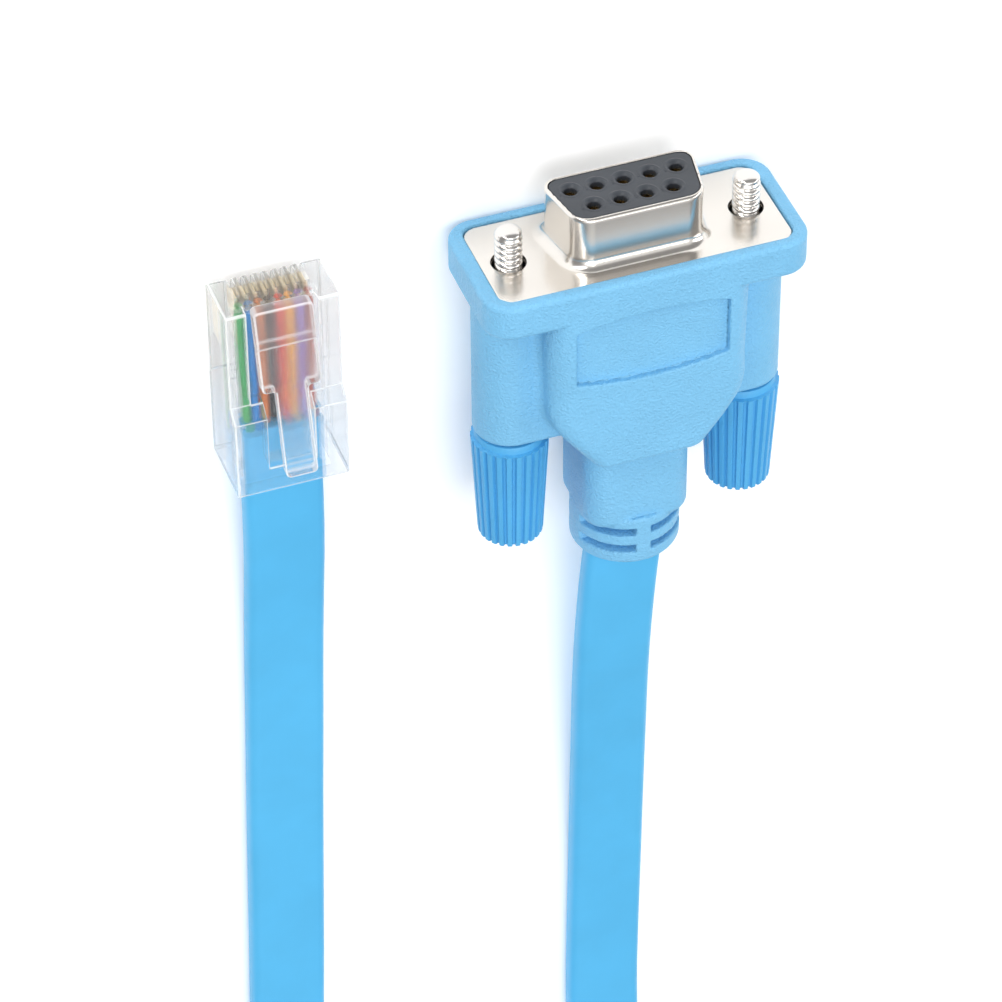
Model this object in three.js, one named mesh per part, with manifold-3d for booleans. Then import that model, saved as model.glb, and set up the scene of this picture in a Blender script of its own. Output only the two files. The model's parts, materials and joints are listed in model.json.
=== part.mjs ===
// A console cable: a flat light blue cable, with a clear eight-way modular plug on one end and,
// on the other, a moulded nine-way socket connector held by two thumbscrews.
// Millimetres, +Z up, lying on the floor at z = 0. Both connectors mate towards -Y and the cable
// runs towards +Y, where the length that isn't needed is folded into a tied hank.
// The origin is on the floor, under the middle of the nine-way connector.
import * as THREE from "three";
import { mergeVertices } from "three/addons/utils/BufferGeometryUtils.js";
import Module from "manifold-3d";

const wasm = await Module();
wasm.setup();

// Clearances between pieces that don't touch
const FIT_GAP = 0.05; // between pieces that are pressed or moulded together
const SEAT_GAP = 0.3; // between faces that meet, and round what turns
const CUT_PAST = 1; // how far what cuts runs past what is cut

// Nine-way connector: metal plate and socket, sizes of the standard shell
const PLATE_HEIGHT = 12.5;
const PLATE_CORNER = 1.6;
const PLATE_THICKNESS = 0.5;
const JACK_SPACING = 25;
const PLATE_END = 2.9; // from a screw's axis to the plate's end
const JACK_HOLE_RADIUS = 1.75;
const SOCKET_WIDTH = 16.3;
const SOCKET_HEIGHT = 7.9;
const SOCKET_CORNER = 1.9;
const SOCKET_REACH = 6;
const SOCKET_WALL = 0.45;
const SOCKET_LIP = 0.5; // rounding of the socket's front rim
const SOCKET_FLARE = 1.05; // height and reach of the fillet where the socket meets its plate
const SIDE_SLANT = THREE.MathUtils.degToRad(10);
const REAR_CAN_WALL = 0.4;
const REAR_CAN_MARGIN = 1.3; // how far the rear can stands outside the socket, all round
const REAR_CAN_DEPTH = 4.5;

// Black insulator and its nine contacts
const CONTACT_PITCH = 2.77;
const ROW_PITCH = 2.84;
const WIDE_ROW = 5;
const NARROW_ROW = 4;
const ENTRY_RADIUS = 0.65;
const ENTRY_CHAMFER = 0.25;
const ENTRY_DEPTH = 0.9;
const CONTACT_RADIUS = 0.85;
const CONTACT_BORE = 0.52;
const CONTACT_TAIL = 2; // how far the contacts stand out behind the insulator
const INSULATOR_SET_BACK = 0.1; // behind the socket's front rim
const INSULATOR_TAIL = 5.2; // behind the plate's front face

// Moulded hood
const BEZEL_SIDE = 1.6;
const BEZEL_EDGE = 1.25;
const BEZEL_RIM = 0.25; // how far the hood's rim stands in front of the plate
const FLANGE_DEPTH = 3.8;
const FLANGE_CORNER = 3;
const FLANGE_ROUND = 0.5;
const BODY_WIDTH = 21.6; // at the flange
const SHOULDER_WIDTH = 20.8;
const BODY_CORNER = 2.2;
const BODY_SHOULDER = 17; // where the body starts to narrow
const BODY_END = 23.2;
const SLEEVE_RADIUS = 3.8;
const SLEEVE_END = 20.8;
const NECK_WIDTH = 11.3;
const NECK_HEIGHT = 10.2;
const NECK_CORNER = 2.6;
const NECK_ROUND = 0.4;
const NECK_END = 34.1;
const RELIEF_RADIUS = 5.7;
const RELIEF_LENGTH = 4.6;
const RELIEF_GROOVE_RADIUS = 4.3;
const RELIEF_GROOVE = 0.95;
const RELIEF_RING = 1.25;
const RELIEF_RIB = 1.6; // ribs that cross the grooves on the flat sides
const RELIEF_SIDE_RIB = 3;
const POCKET_DEPTH = 8.4;
const PANEL_WIDTH = 16.1;
const PANEL_START = 4.95;
const PANEL_LENGTH = 6.5;
const PANEL_BULGE = 0.85;
const PANEL_DEPTH = 0.7;

// Thumbscrews
const SCREW_RADIUS = 1.4;
const SCREW_REACH = 4.2; // in front of the plate
const SCREW_TIP = 0.4;
const SCREW_TAIL = 9.5; // length inside the knob
const KNOB_LENGTH = 13.6;
const KNOB_FRONT_RADIUS = 4;
const KNOB_BACK_RADIUS = 3.35;
const KNOB_COLLAR = 1;
const KNOB_ROUND = 0.35;
const RIB_COUNT = 24;
const RIB_HEIGHT = 0.38;

// Flat cable
const CABLE_LENGTH = 1500; // between the two connectors, from the jacket's end in the plug
const CABLE_WIDTH = 8.4;
const CABLE_THICKNESS = 2.5;

// Eight-way plug, in its own frame: y from the nose towards the cable, z from the contact side
const PLUG_X = 35.5;
const PLUG_NOSE_Y = -16.8;
const PLUG_WIDTH = 11.7;
const PLUG_LENGTH = 22;
const NOSE_LENGTH = 11.4;
const NOSE_BOTTOM = 0.35;
const NOSE_TOP = 6.9;
const PLUG_HEIGHT = 8.2;
const NOSE_CHAMFER = 0.7;
const WAY_PITCH = 1.02;
const WAY_COUNT = 8;
const SLOT_WIDTH = 0.48;
const SLOT_LENGTH = 6.8;
const BLADE_START = 1.2;
const BLADE_END = 6.3;
const BLADE_BOTTOM = 0.75;
const BLADE_FRONT_ROUND = 0.4;
const BLADE_BACK_ROUND = 0.2;
const WIRE_RADIUS = 0.46;
const WIRE_Z = 3.75;
const WIRE_START = 2;
const WIRE_LEAD = 2; // how far the wires run side by side before the jacket
const WIRE_ROOM = 0.17; // free height above and below the wires
const JACKET_INSIDE = 5.5;
const JACKET_PITCH = 0.96; // between the wires where they leave the jacket
const ENTRY_SLOPE = 2.6; // length over which the plug's cavity opens towards the cable
const RECESS_SIDE = 2.2; // width of the nose's two side blocks
const RECESS_FLOOR = 5.5;
const CLAMP_WIDTH = 4.8;
const CLAMP_END = 19;
const CLAMP_FLOOR = 5.8;
const LATCH_ANGLE = THREE.MathUtils.degToRad(14);
const LATCH_START = 0.1;
const LATCH_PIVOT_Y = 0.6;
const LATCH_PIVOT_Z = 6.5;
const LATCH_THICKNESS = 1.15;
const LATCH_SHOULDER = 8.7;
const LATCH_END = 18;
const LEVER_WIDTH = 3.3;
const LATCH_NOSE_ROUND = 1.2;
const SHOULDER_ROUND = 0.4;
const LEVER_ROUND = 0.5;

// Hank: the cable stands on its edge, in two layers of turns, with round ends
const TURN_PITCH = 2.9;
const LAYER_GAP = 0.2;
const TURNS_ACROSS = 3;
const HANK_RADIUS = 31; // of the outermost turn's middle, at the round ends
const HANK_NEAR_Y = 168; // middle of the near round ends
const TIE_THICKNESS = 0.5;
const TIE_GAP = 0.1;
const TIE_WIDTH = 6;
const TIE_CORNER = 0.6;

// Sizes that follow from those above
const PLATE_WIDTH = JACK_SPACING + 2 * PLATE_END;
const HOOD_WIDTH = PLATE_WIDTH + 2 * BEZEL_SIDE;
const HOOD_HEIGHT = PLATE_HEIGHT + 2 * BEZEL_EDGE;
const MIDDLE_Z = HOOD_HEIGHT / 2;
const HOOD_END = NECK_END + RELIEF_LENGTH;
const PLATE_Y = -(HOOD_END - SOCKET_REACH) / 2;
const JACK_X = JACK_SPACING / 2;
const KNOB_START = SLEEVE_END + SEAT_GAP;
const ARC_STEPS = 5;
const ROUND_STEPS = 24;

// A closed mesh as a solid that can be joined and cut.
function solid(geometry) {
  const bare = new THREE.BufferGeometry().setAttribute("position", geometry.getAttribute("position"));
  bare.setIndex(geometry.index);
  const merged = mergeVertices(bare, 1e-4);
  const corners = merged.index.array;
  const kept = [];
  for (let i = 0; i < corners.length; i += 3) {
    const [a, b, c] = corners.slice(i, i + 3);
    if (a !== b && b !== c && c !== a) kept.push(a, b, c);
  }
  const vertProperties = new Float32Array(merged.getAttribute("position").array);
  return new wasm.Manifold(new wasm.Mesh({ numProp: 3, vertProperties, triVerts: new Uint32Array(kept) }));
}

// A named mesh from a solid.
function piece(name, shape, material) {
  const cut = shape.getMesh();
  const geometry = new THREE.BufferGeometry();
  geometry.setAttribute("position", new THREE.BufferAttribute(new Float32Array(cut.vertProperties), 3));
  geometry.setIndex(new THREE.BufferAttribute(new Uint32Array(cut.triVerts), 1));
  geometry.computeVertexNormals();
  const mesh = new THREE.Mesh(geometry, material);
  mesh.name = name;
  return mesh;
}

// A closed outline through corners, each rounded by its own radius (0 keeps it sharp).
function roundedOutline(corners) {
  const shape = new THREE.Shape();
  const points = corners.map(([x, y]) => new THREE.Vector2(x, y));
  points.forEach((corner, i) => {
    const before = points[(i + points.length - 1) % points.length];
    const after = points[(i + 1) % points.length];
    const radius = corners[i][2] ?? 0;
    const back = before.clone().sub(corner).normalize();
    const ahead = after.clone().sub(corner).normalize();
    const half = Math.acos(THREE.MathUtils.clamp(back.dot(ahead), -1, 1)) / 2;
    const run = radius / Math.tan(half);
    const start = corner.clone().addScaledVector(back, run);
    const end = corner.clone().addScaledVector(ahead, run);
    if (i === 0) shape.moveTo(start.x, start.y);
    else shape.lineTo(start.x, start.y);
    if (radius > 0) shape.quadraticCurveTo(corner.x, corner.y, end.x, end.y);
  });
  shape.closePath();
  return shape;
}

function rectangle(width, height, radius = 0) {
  const [x, y] = [width / 2, height / 2];
  return roundedOutline([[-x, -y, radius], [x, -y, radius], [x, y, radius], [-x, y, radius]]);
}

// The outline of a nine-way socket: its wide side below, its two ends slanting inwards.
function socketOutline(width, height, radius) {
  const [x, y] = [width / 2, height / 2];
  const top = x - height * Math.tan(SIDE_SLANT);
  return roundedOutline([[-x, -y, radius], [x, -y, radius], [top, y, radius], [-top, y, radius]]);
}

// Extrudes an outline drawn in x and z along Y, with its ends rounded by bevel.
function alongY(outline, from, to, bevel = 0) {
  const geometry = new THREE.ExtrudeGeometry(outline, {
    depth: to - from - 2 * bevel,
    bevelEnabled: bevel > 0,
    bevelThickness: bevel,
    bevelSize: bevel,
    bevelOffset: -bevel,
    bevelSegments: 3,
    curveSegments: ARC_STEPS,
  });
  geometry.rotateX(Math.PI / 2);
  geometry.translate(0, to - bevel, 0);
  return solid(geometry);
}

// Extrudes an outline drawn in y and z along X, evenly on both sides of x = 0.
function acrossX(outline, width) {
  const geometry = new THREE.ExtrudeGeometry(outline, { depth: width, bevelEnabled: false, curveSegments: ARC_STEPS });
  geometry.translate(0, 0, -width / 2);
  const axes = [new THREE.Vector3(0, 1, 0), new THREE.Vector3(0, 0, 1), new THREE.Vector3(1, 0, 0)];
  geometry.applyMatrix4(new THREE.Matrix4().makeBasis(...axes));
  return solid(geometry);
}

// Extrudes an outline drawn in x and y upwards.
function upwards(outline, from, to) {
  const geometry = new THREE.ExtrudeGeometry(outline, { depth: to - from, bevelEnabled: false, curveSegments: ARC_STEPS });
  geometry.translate(0, 0, from);
  return solid(geometry);
}

// Turns a profile of [radius, y] points about the Y axis.
function turned(profile, steps = ROUND_STEPS) {
  return solid(new THREE.LatheGeometry(profile.map(([r, y]) => new THREE.Vector2(r, y)), steps));
}

function rod(radius, from, to, steps = ROUND_STEPS) {
  return turned([[0, from], [radius, from], [radius, to], [0, to]], steps);
}

function box(x0, x1, y0, y1, z0, z1) {
  const geometry = new THREE.BoxGeometry(x1 - x0, y1 - y0, z1 - z0);
  geometry.translate((x0 + x1) / 2, (y0 + y1) / 2, (z0 + z1) / 2);
  return solid(geometry);
}

const joined = (solids) => solids.reduce((whole, next) => whole.add(next));
const atJacks = (shape) => [-1, 1].map((side) => shape.translate([side * JACK_X, 0, 0]));

function plastic(color, roughness) {
  return new THREE.MeshStandardMaterial({ color, roughness, metalness: 0 });
}

function metal(color, roughness) {
  return new THREE.MeshStandardMaterial({ color, roughness, metalness: 1 });
}

const HOOD_BLUE = plastic(0x6cbcec, 0.55);
const CABLE_BLUE = plastic(0x5dc0f0, 0.45);
const NICKEL = metal(0xd9d6d2, 0.25);
const BLACK = plastic(0x43474f, 0.5);
const GOLD = metal(0xd9b25c, 0.3);
const TIE_GREY = plastic(0x2e3136, 0.6);
const CLEAR = new THREE.MeshStandardMaterial({ color: 0xf2f5f8, roughness: 0.1, transparent: true, opacity: 0.35 });

// Nine-way connector, in its own frame: y = 0 is the plate's front face, z = 0 its middle.

// The pressed front shell: plate, two screw holes and the socket standing out of it.
function frontShell() {
  const plate = alongY(rectangle(PLATE_WIDTH, PLATE_HEIGHT, PLATE_CORNER), 0, PLATE_THICKNESS);
  const outside = socketOutline(SOCKET_WIDTH, SOCKET_HEIGHT, SOCKET_CORNER);
  const can = alongY(outside, -SOCKET_REACH, PLATE_THICKNESS, SOCKET_LIP);
  const bore = alongY(insideOutline(0), -2 * SOCKET_REACH, 2 * PLATE_THICKNESS);
  const holes = atJacks(rod(JACK_HOLE_RADIUS, -CUT_PAST, PLATE_THICKNESS + CUT_PAST));
  return joined([plate, can, ...socketFillet()]).subtract(joined([bore, ...holes]));
}

// The hollow curve at the socket's foot, as two flared rings: steep above, flat below.
function socketFillet() {
  const ring = (grow, y) => {
    const outline = socketOutline(SOCKET_WIDTH + 2 * grow, SOCKET_HEIGHT + 2 * grow, SOCKET_CORNER + grow);
    return alongY(outline, y, y + FIT_GAP);
  };
  const bend = SOCKET_FLARE / 3.5;
  const rings = [ring(0, -SOCKET_FLARE), ring(bend, -bend), ring(SOCKET_FLARE, 0)];
  return [rings[0].add(rings[1]).hull(), rings[1].add(rings[2]).hull()];
}

// The socket's inner outline, less a clearance all round.
function insideOutline(clearance) {
  const less = 2 * (SOCKET_WALL + clearance);
  return socketOutline(SOCKET_WIDTH - less, SOCKET_HEIGHT - less, SOCKET_CORNER - SOCKET_WALL);
}

// The hidden rear shell: a second plate behind the first, with a wider can round the insulator.
function rearShell() {
  const from = PLATE_THICKNESS + FIT_GAP;
  const plate = alongY(rectangle(PLATE_WIDTH, PLATE_HEIGHT, PLATE_CORNER), from, from + PLATE_THICKNESS);
  const can = alongY(rearCanOutline(0), from, from + REAR_CAN_DEPTH);
  const room = alongY(rearCanOutline(-REAR_CAN_WALL), from + PLATE_THICKNESS, 2 * REAR_CAN_DEPTH);
  const bore = alongY(insideOutline(0), -CUT_PAST, 2 * REAR_CAN_DEPTH);
  const holes = atJacks(rod(JACK_HOLE_RADIUS, 0, 2 * from));
  return joined([plate, can]).subtract(joined([room, bore, ...holes]));
}

function rearCanOutline(grow) {
  const more = 2 * (REAR_CAN_MARGIN + grow);
  return socketOutline(SOCKET_WIDTH + more, SOCKET_HEIGHT + more, SOCKET_CORNER);
}

// [x, z] of each contact: the wide row below, the narrow row above, each numbered from -X.
function contactPlaces() {
  const row = (count, z) => Array.from({ length: count }, (_, i) => [(i - (count - 1) / 2) * CONTACT_PITCH, z]);
  return [...row(WIDE_ROW, -ROW_PITCH / 2), ...row(NARROW_ROW, ROW_PITCH / 2)];
}

const INSULATOR_FACE = -SOCKET_REACH + INSULATOR_SET_BACK;

function insulator() {
  const block = alongY(insideOutline(FIT_GAP), INSULATOR_FACE, INSULATOR_TAIL);
  const mouth = INSULATOR_FACE + ENTRY_CHAMFER;
  const cavity = INSULATOR_FACE + ENTRY_DEPTH;
  const room = CONTACT_RADIUS + FIT_GAP;
  const hole = turned(
    [[0, INSULATOR_FACE - CUT_PAST], [ENTRY_RADIUS + ENTRY_CHAMFER, INSULATOR_FACE - CUT_PAST],
      [ENTRY_RADIUS + ENTRY_CHAMFER, INSULATOR_FACE], [ENTRY_RADIUS, mouth], [ENTRY_RADIUS, cavity],
      [room, cavity], [room, INSULATOR_TAIL + CUT_PAST], [0, INSULATOR_TAIL + CUT_PAST]],
    12,
  );
  return block.subtract(joined(contactPlaces().map(([x, z]) => hole.translate([x, 0, z]))));
}

// One socket contact: a sleeve, open at the front, with a solid tail.
function contact() {
  const from = INSULATOR_FACE + ENTRY_DEPTH + FIT_GAP;
  const to = INSULATOR_TAIL + CONTACT_TAIL;
  return turned(
    [[0, PLATE_THICKNESS], [CONTACT_BORE, PLATE_THICKNESS], [CONTACT_BORE, from], [CONTACT_RADIUS, from],
      [CONTACT_RADIUS, to], [0, to]],
    10,
  );
}

// The moulded hood: flange, body, two screw sleeves, neck and grooved strain relief in one.
function hood() {
  const flange = alongY(rectangle(HOOD_WIDTH, HOOD_HEIGHT, FLANGE_CORNER), -BEZEL_RIM, FLANGE_DEPTH, FLANGE_ROUND);
  const sleeves = alongY(
    rectangle(JACK_SPACING + 2 * SLEEVE_RADIUS, 2 * SLEEVE_RADIUS, SLEEVE_RADIUS - FIT_GAP),
    FLANGE_DEPTH / 2,
    SLEEVE_END,
  );
  const neck = alongY(rectangle(NECK_WIDTH, NECK_HEIGHT, NECK_CORNER), BODY_END - BODY_CORNER, NECK_END, NECK_ROUND);
  const outside = joined([flange, hoodBody(), sleeves, neck, strainRelief()]);
  return outside.subtract(joined([connectorPocket(), ...atJacks(screwBore()), labelPanel()]));
}

// The body keeps the flange's height and narrows towards the neck.
function hoodBody() {
  const from = FLANGE_DEPTH / 3;
  const front = [BODY_WIDTH / 2, from];
  const shoulder = [SHOULDER_WIDTH / 2, BODY_SHOULDER];
  const end = [NECK_WIDTH / 2, BODY_END];
  const slice = ([half, y]) => alongY(rectangle(2 * half, HOOD_HEIGHT, BODY_CORNER), y, y + FIT_GAP);
  const slices = [front, shoulder, end].map(slice);
  return slices[0].add(slices[1]).hull().add(slices[1].add(slices[2]).hull());
}

function strainRelief() {
  const barrel = rod(RELIEF_RADIUS, NECK_END - RELIEF_RING, HOOD_END);
  const groove = (from) => rod(2 * RELIEF_RADIUS, from, from + RELIEF_GROOVE)
    .subtract(rod(RELIEF_GROOVE_RADIUS, from - CUT_PAST, from + RELIEF_GROOVE + CUT_PAST));
  const grooves = joined([groove(NECK_END), groove(NECK_END + RELIEF_GROOVE + RELIEF_RING)]);
  const reach = 3 * RELIEF_RADIUS;
  const rib = RELIEF_RIB / 2;
  const sideRib = RELIEF_SIDE_RIB / 2;
  const ribs = box(-rib, rib, 0, 2 * HOOD_END, -reach, reach).add(box(-reach, reach, 0, 2 * HOOD_END, -sideRib, sideRib));
  return barrel.subtract(grooves.subtract(ribs));
}

// What the metal connector takes up in the hood's front.
function connectorPocket() {
  const plates = 2 * (PLATE_THICKNESS + FIT_GAP);
  const grow = 2 * FIT_GAP;
  const seat = alongY(rectangle(PLATE_WIDTH + grow, PLATE_HEIGHT + grow, PLATE_CORNER), -CUT_PAST, plates);
  return seat.add(alongY(rearCanOutline(FIT_GAP), 0, POCKET_DEPTH));
}

function screwBore() {
  return rod(SCREW_RADIUS + SEAT_GAP, -CUT_PAST, SLEEVE_END + CUT_PAST);
}

// A shallow label recess on the upper side, its two long edges bowed outwards.
function labelPanel() {
  const half = PANEL_WIDTH / 2;
  const end = PANEL_START + PANEL_LENGTH;
  const shape = new THREE.Shape();
  shape.moveTo(-half, PANEL_START);
  shape.quadraticCurveTo(0, PANEL_START - 2 * PANEL_BULGE, half, PANEL_START);
  shape.lineTo(half, end);
  shape.quadraticCurveTo(0, end + 2 * PANEL_BULGE, -half, end);
  shape.closePath();
  return upwards(shape, HOOD_HEIGHT / 2 - PANEL_DEPTH, HOOD_HEIGHT);
}

// A thumbscrew's steel shaft, from its chamfered tip to its tail in the knob.
function jackscrew() {
  const tip = -SCREW_REACH;
  const tail = KNOB_START + SCREW_TAIL;
  return turned([[0, tip], [SCREW_RADIUS - SCREW_TIP, tip], [SCREW_RADIUS, tip + SCREW_TIP], [SCREW_RADIUS, tail], [0, tail]]);
}

// A thumbscrew's moulded knob: a smooth collar, then a ribbed barrel that narrows to its end.
function knob() {
  const ribs = new THREE.Shape();
  const step = (2 * Math.PI) / RIB_COUNT;
  const low = KNOB_FRONT_RADIUS - RIB_HEIGHT;
  const shares = [[0, low], [0.26, low], [0.4, KNOB_FRONT_RADIUS], [0.86, KNOB_FRONT_RADIUS]];
  for (let i = 0; i < RIB_COUNT; i++) {
    for (const [share, radius] of shares) {
      const angle = (i + share) * step;
      const at = [radius * Math.cos(angle), radius * Math.sin(angle)];
      if (i === 0 && share === 0) ribs.moveTo(...at);
      else ribs.lineTo(...at);
    }
  }
  ribs.closePath();
  const depth = KNOB_LENGTH - KNOB_COLLAR;
  const geometry = new THREE.ExtrudeGeometry(ribs, { depth, steps: 6, bevelEnabled: false });
  const place = geometry.getAttribute("position");
  for (let i = 0; i < place.count; i++) {
    const scale = knobRadius(place.getZ(i)) / KNOB_FRONT_RADIUS;
    place.setXY(i, place.getX(i) * scale, place.getY(i) * scale);
  }
  geometry.rotateX(-Math.PI / 2);
  geometry.translate(0, KNOB_START + KNOB_COLLAR, 0);
  const collar = rod(low - FIT_GAP, KNOB_START, KNOB_START + 2 * KNOB_COLLAR);
  const bore = rod(SCREW_RADIUS + FIT_GAP, KNOB_START - CUT_PAST, KNOB_START + SCREW_TAIL + FIT_GAP);
  return solid(geometry).add(collar).subtract(bore);
}

// The barrel's outer radius at a distance from its first rib, rounded off at its end.
function knobRadius(distance) {
  const depth = KNOB_LENGTH - KNOB_COLLAR;
  const straight = THREE.MathUtils.lerp(KNOB_FRONT_RADIUS, KNOB_BACK_RADIUS, distance / depth);
  const into = Math.max(0, distance - depth + 2 * KNOB_ROUND) / (2 * KNOB_ROUND);
  return straight - KNOB_ROUND * into * into;
}

function connector() {
  const group = new THREE.Group();
  group.position.set(0, PLATE_Y, MIDDLE_Z);
  group.add(piece("hood", hood(), HOOD_BLUE));
  group.add(piece("front_shell", frontShell(), NICKEL));
  group.add(piece("rear_shell", rearShell(), NICKEL));
  group.add(piece("insulator", insulator(), BLACK));
  contactPlaces().forEach(([x, z], i) => group.add(piece(`socket_contact_${i + 1}`, contact().translate([x, 0, z]), GOLD)));
  for (const [side, x] of [["right", -JACK_X], ["left", JACK_X]]) {
    group.add(piece(`jackscrew_${side}`, jackscrew().translate([x, 0, 0]), NICKEL));
    group.add(piece(`knob_${side}`, knob().translate([x, 0, 0]), HOOD_BLUE));
  }
  return group;
}

// Eight-way plug, in its own frame.

const ways = Array.from({ length: WAY_COUNT }, (_, i) => i - (WAY_COUNT - 1) / 2);
const JACKET_END_Y = PLUG_LENGTH - JACKET_INSIDE;
const CAVITY_WIDTH = CABLE_WIDTH + 2 * SEAT_GAP;
const WIRE_CAVITY = WIRE_RADIUS + WIRE_ROOM;
const JACKET_CAVITY = CABLE_THICKNESS / 2 + SEAT_GAP;

function plugHousing() {
  const step = PLUG_HEIGHT - NOSE_TOP;
  const side = roundedOutline([
    [0, NOSE_BOTTOM + NOSE_CHAMFER], [NOSE_CHAMFER, NOSE_BOTTOM], [NOSE_LENGTH, NOSE_BOTTOM],
    [NOSE_LENGTH + NOSE_BOTTOM, 0], [PLUG_LENGTH, 0], [PLUG_LENGTH, PLUG_HEIGHT],
    [NOSE_LENGTH + step, PLUG_HEIGHT], [NOSE_LENGTH, NOSE_TOP], [0, NOSE_TOP],
  ]);
  const opening = JACKET_END_Y - SEAT_GAP;
  const cavity = roundedOutline([
    [WIRE_START - SEAT_GAP, WIRE_Z - WIRE_CAVITY], [opening - ENTRY_SLOPE, WIRE_Z - WIRE_CAVITY],
    [opening, WIRE_Z - JACKET_CAVITY], [PLUG_LENGTH + CUT_PAST, WIRE_Z - JACKET_CAVITY],
    [PLUG_LENGTH + CUT_PAST, WIRE_Z + JACKET_CAVITY], [opening, WIRE_Z + JACKET_CAVITY],
    [opening - ENTRY_SLOPE, WIRE_Z + WIRE_CAVITY], [WIRE_START - SEAT_GAP, WIRE_Z + WIRE_CAVITY],
  ]);
  const slots = ways.map((way) => {
    const x = way * WAY_PITCH;
    return box(x - SLOT_WIDTH / 2, x + SLOT_WIDTH / 2, -CUT_PAST, SLOT_LENGTH, -CUT_PAST, WIRE_Z);
  });
  const recess = PLUG_WIDTH / 2 - RECESS_SIDE;
  const clamp = CLAMP_WIDTH / 2;
  return acrossX(side, PLUG_WIDTH).subtract(joined([
    acrossX(cavity, CAVITY_WIDTH),
    ...slots,
    box(-recess, recess, -CUT_PAST, NOSE_LENGTH, RECESS_FLOOR, 2 * PLUG_HEIGHT),
    box(-clamp, clamp, NOSE_LENGTH - CUT_PAST, CLAMP_END, CLAMP_FLOOR, 2 * PLUG_HEIGHT),
  ]));
}

// The latch: a wide tongue from the nose, two shoulders, then a narrow lever that stands up.
function plugLatch() {
  const rise = (y) => LATCH_PIVOT_Z + (y - LATCH_PIVOT_Y) * Math.tan(LATCH_ANGLE);
  const half = LATCH_THICKNESS / 2 / Math.cos(LATCH_ANGLE);
  const strip = roundedOutline([
    [LATCH_START - CUT_PAST, rise(LATCH_START - CUT_PAST) - half], [LATCH_END + CUT_PAST, rise(LATCH_END + CUT_PAST) - half],
    [LATCH_END + CUT_PAST, rise(LATCH_END + CUT_PAST) + half], [LATCH_START - CUT_PAST, rise(LATCH_START - CUT_PAST) + half],
  ]);
  const wide = PLUG_WIDTH / 2 - RECESS_SIDE - 2 * SEAT_GAP;
  const lever = LEVER_WIDTH / 2;
  const plan = roundedOutline([
    [-wide, LATCH_START, LATCH_NOSE_ROUND], [wide, LATCH_START, LATCH_NOSE_ROUND],
    [wide, LATCH_SHOULDER, SHOULDER_ROUND], [lever, LATCH_SHOULDER + SHOULDER_ROUND],
    [lever, LATCH_END, LEVER_ROUND], [-lever, LATCH_END, LEVER_ROUND],
    [-lever, LATCH_SHOULDER + SHOULDER_ROUND], [-wide, LATCH_SHOULDER, SHOULDER_ROUND],
  ]);
  return acrossX(strip, PLUG_WIDTH).intersect(upwards(plan, 0, 2 * PLUG_HEIGHT));
}

// One contact blade, standing in its slot under its wire.
function blade() {
  const thick = SLOT_WIDTH - 2 * FIT_GAP;
  const top = WIRE_Z - WIRE_RADIUS - 2 * FIT_GAP;
  const side = roundedOutline([
    [BLADE_START, BLADE_BOTTOM, BLADE_FRONT_ROUND], [BLADE_END, BLADE_BOTTOM, BLADE_BACK_ROUND],
    [BLADE_END, top], [BLADE_START, top],
  ]);
  return acrossX(side, thick);
}

// One insulated wire, from the plug's nose to the jacket, closing up to its neighbours.
function wire(way) {
  const end = JACKET_END_Y - SEAT_GAP;
  const section = new THREE.Shape().absarc(0, 0, WIRE_RADIUS, 0, 2 * Math.PI);
  const [wide, close] = [way * WAY_PITCH, way * JACKET_PITCH];
  const path = new THREE.CatmullRomCurve3([
    new THREE.Vector3(wide, WIRE_START, WIRE_Z), new THREE.Vector3(wide, SLOT_LENGTH, WIRE_Z),
    new THREE.Vector3(close, end - WIRE_LEAD, WIRE_Z), new THREE.Vector3(close, end, WIRE_Z),
  ]);
  return solid(new THREE.ExtrudeGeometry(section, { extrudePath: path, steps: 8, curveSegments: 8 }));
}

// Jacket colours of the eight wires, from +X to -X.
const WIRE_COLOURS = [
  ["green", 0x3da45c], ["blue", 0x1d86cc], ["orange", 0xd2702c], ["black", 0x24262d],
  ["red", 0xe4503a], ["yellow", 0xf3ab2e], ["violet", 0xa287c4], ["brown", 0xb86a5c],
];

function plug() {
  const group = new THREE.Group();
  group.position.set(PLUG_X, PLUG_NOSE_Y, 0);
  group.add(piece("plug_housing", plugHousing(), CLEAR));
  group.add(piece("plug_latch", plugLatch(), CLEAR));
  ways.forEach((way, i) => {
    const [name, colour] = WIRE_COLOURS[WAY_COUNT - 1 - i];
    group.add(piece(`plug_blade_${i + 1}`, blade().translate([way * WAY_PITCH, 0, 0]), GOLD));
    group.add(piece(`wire_${name}`, wire(way), plastic(colour, 0.5)));
  });
  return group;
}

// Cable, in the part's frame.

// A route through points of [x, y, z, tilt]: tilt is how far the wide side is turned from level.
class FlatRoute extends THREE.CatmullRomCurve3 {
  constructor(stations) {
    super(stations.map(([x, y, z]) => new THREE.Vector3(x, y, z)), false, "centripetal");
    this.tilts = stations.map((station) => THREE.MathUtils.degToRad(station[3]));
  }

  tiltAt(t) {
    const at = t * (this.tilts.length - 1);
    const first = Math.min(Math.floor(at), this.tilts.length - 2);
    return THREE.MathUtils.lerp(this.tilts[first], this.tilts[first + 1], at - first);
  }

  computeFrenetFrames(segments) {
    const frames = { tangents: [], normals: [], binormals: [] };
    for (let i = 0; i <= segments; i++) {
      const t = this.getUtoTmapping(i / segments);
      const tangent = this.getTangent(t);
      const level = new THREE.Vector3(0, 0, 1).cross(tangent).normalize();
      const wide = level.applyAxisAngle(tangent, this.tiltAt(t));
      frames.tangents.push(tangent);
      frames.normals.push(wide);
      frames.binormals.push(tangent.clone().cross(wide));
    }
    return frames;
  }
}

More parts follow.
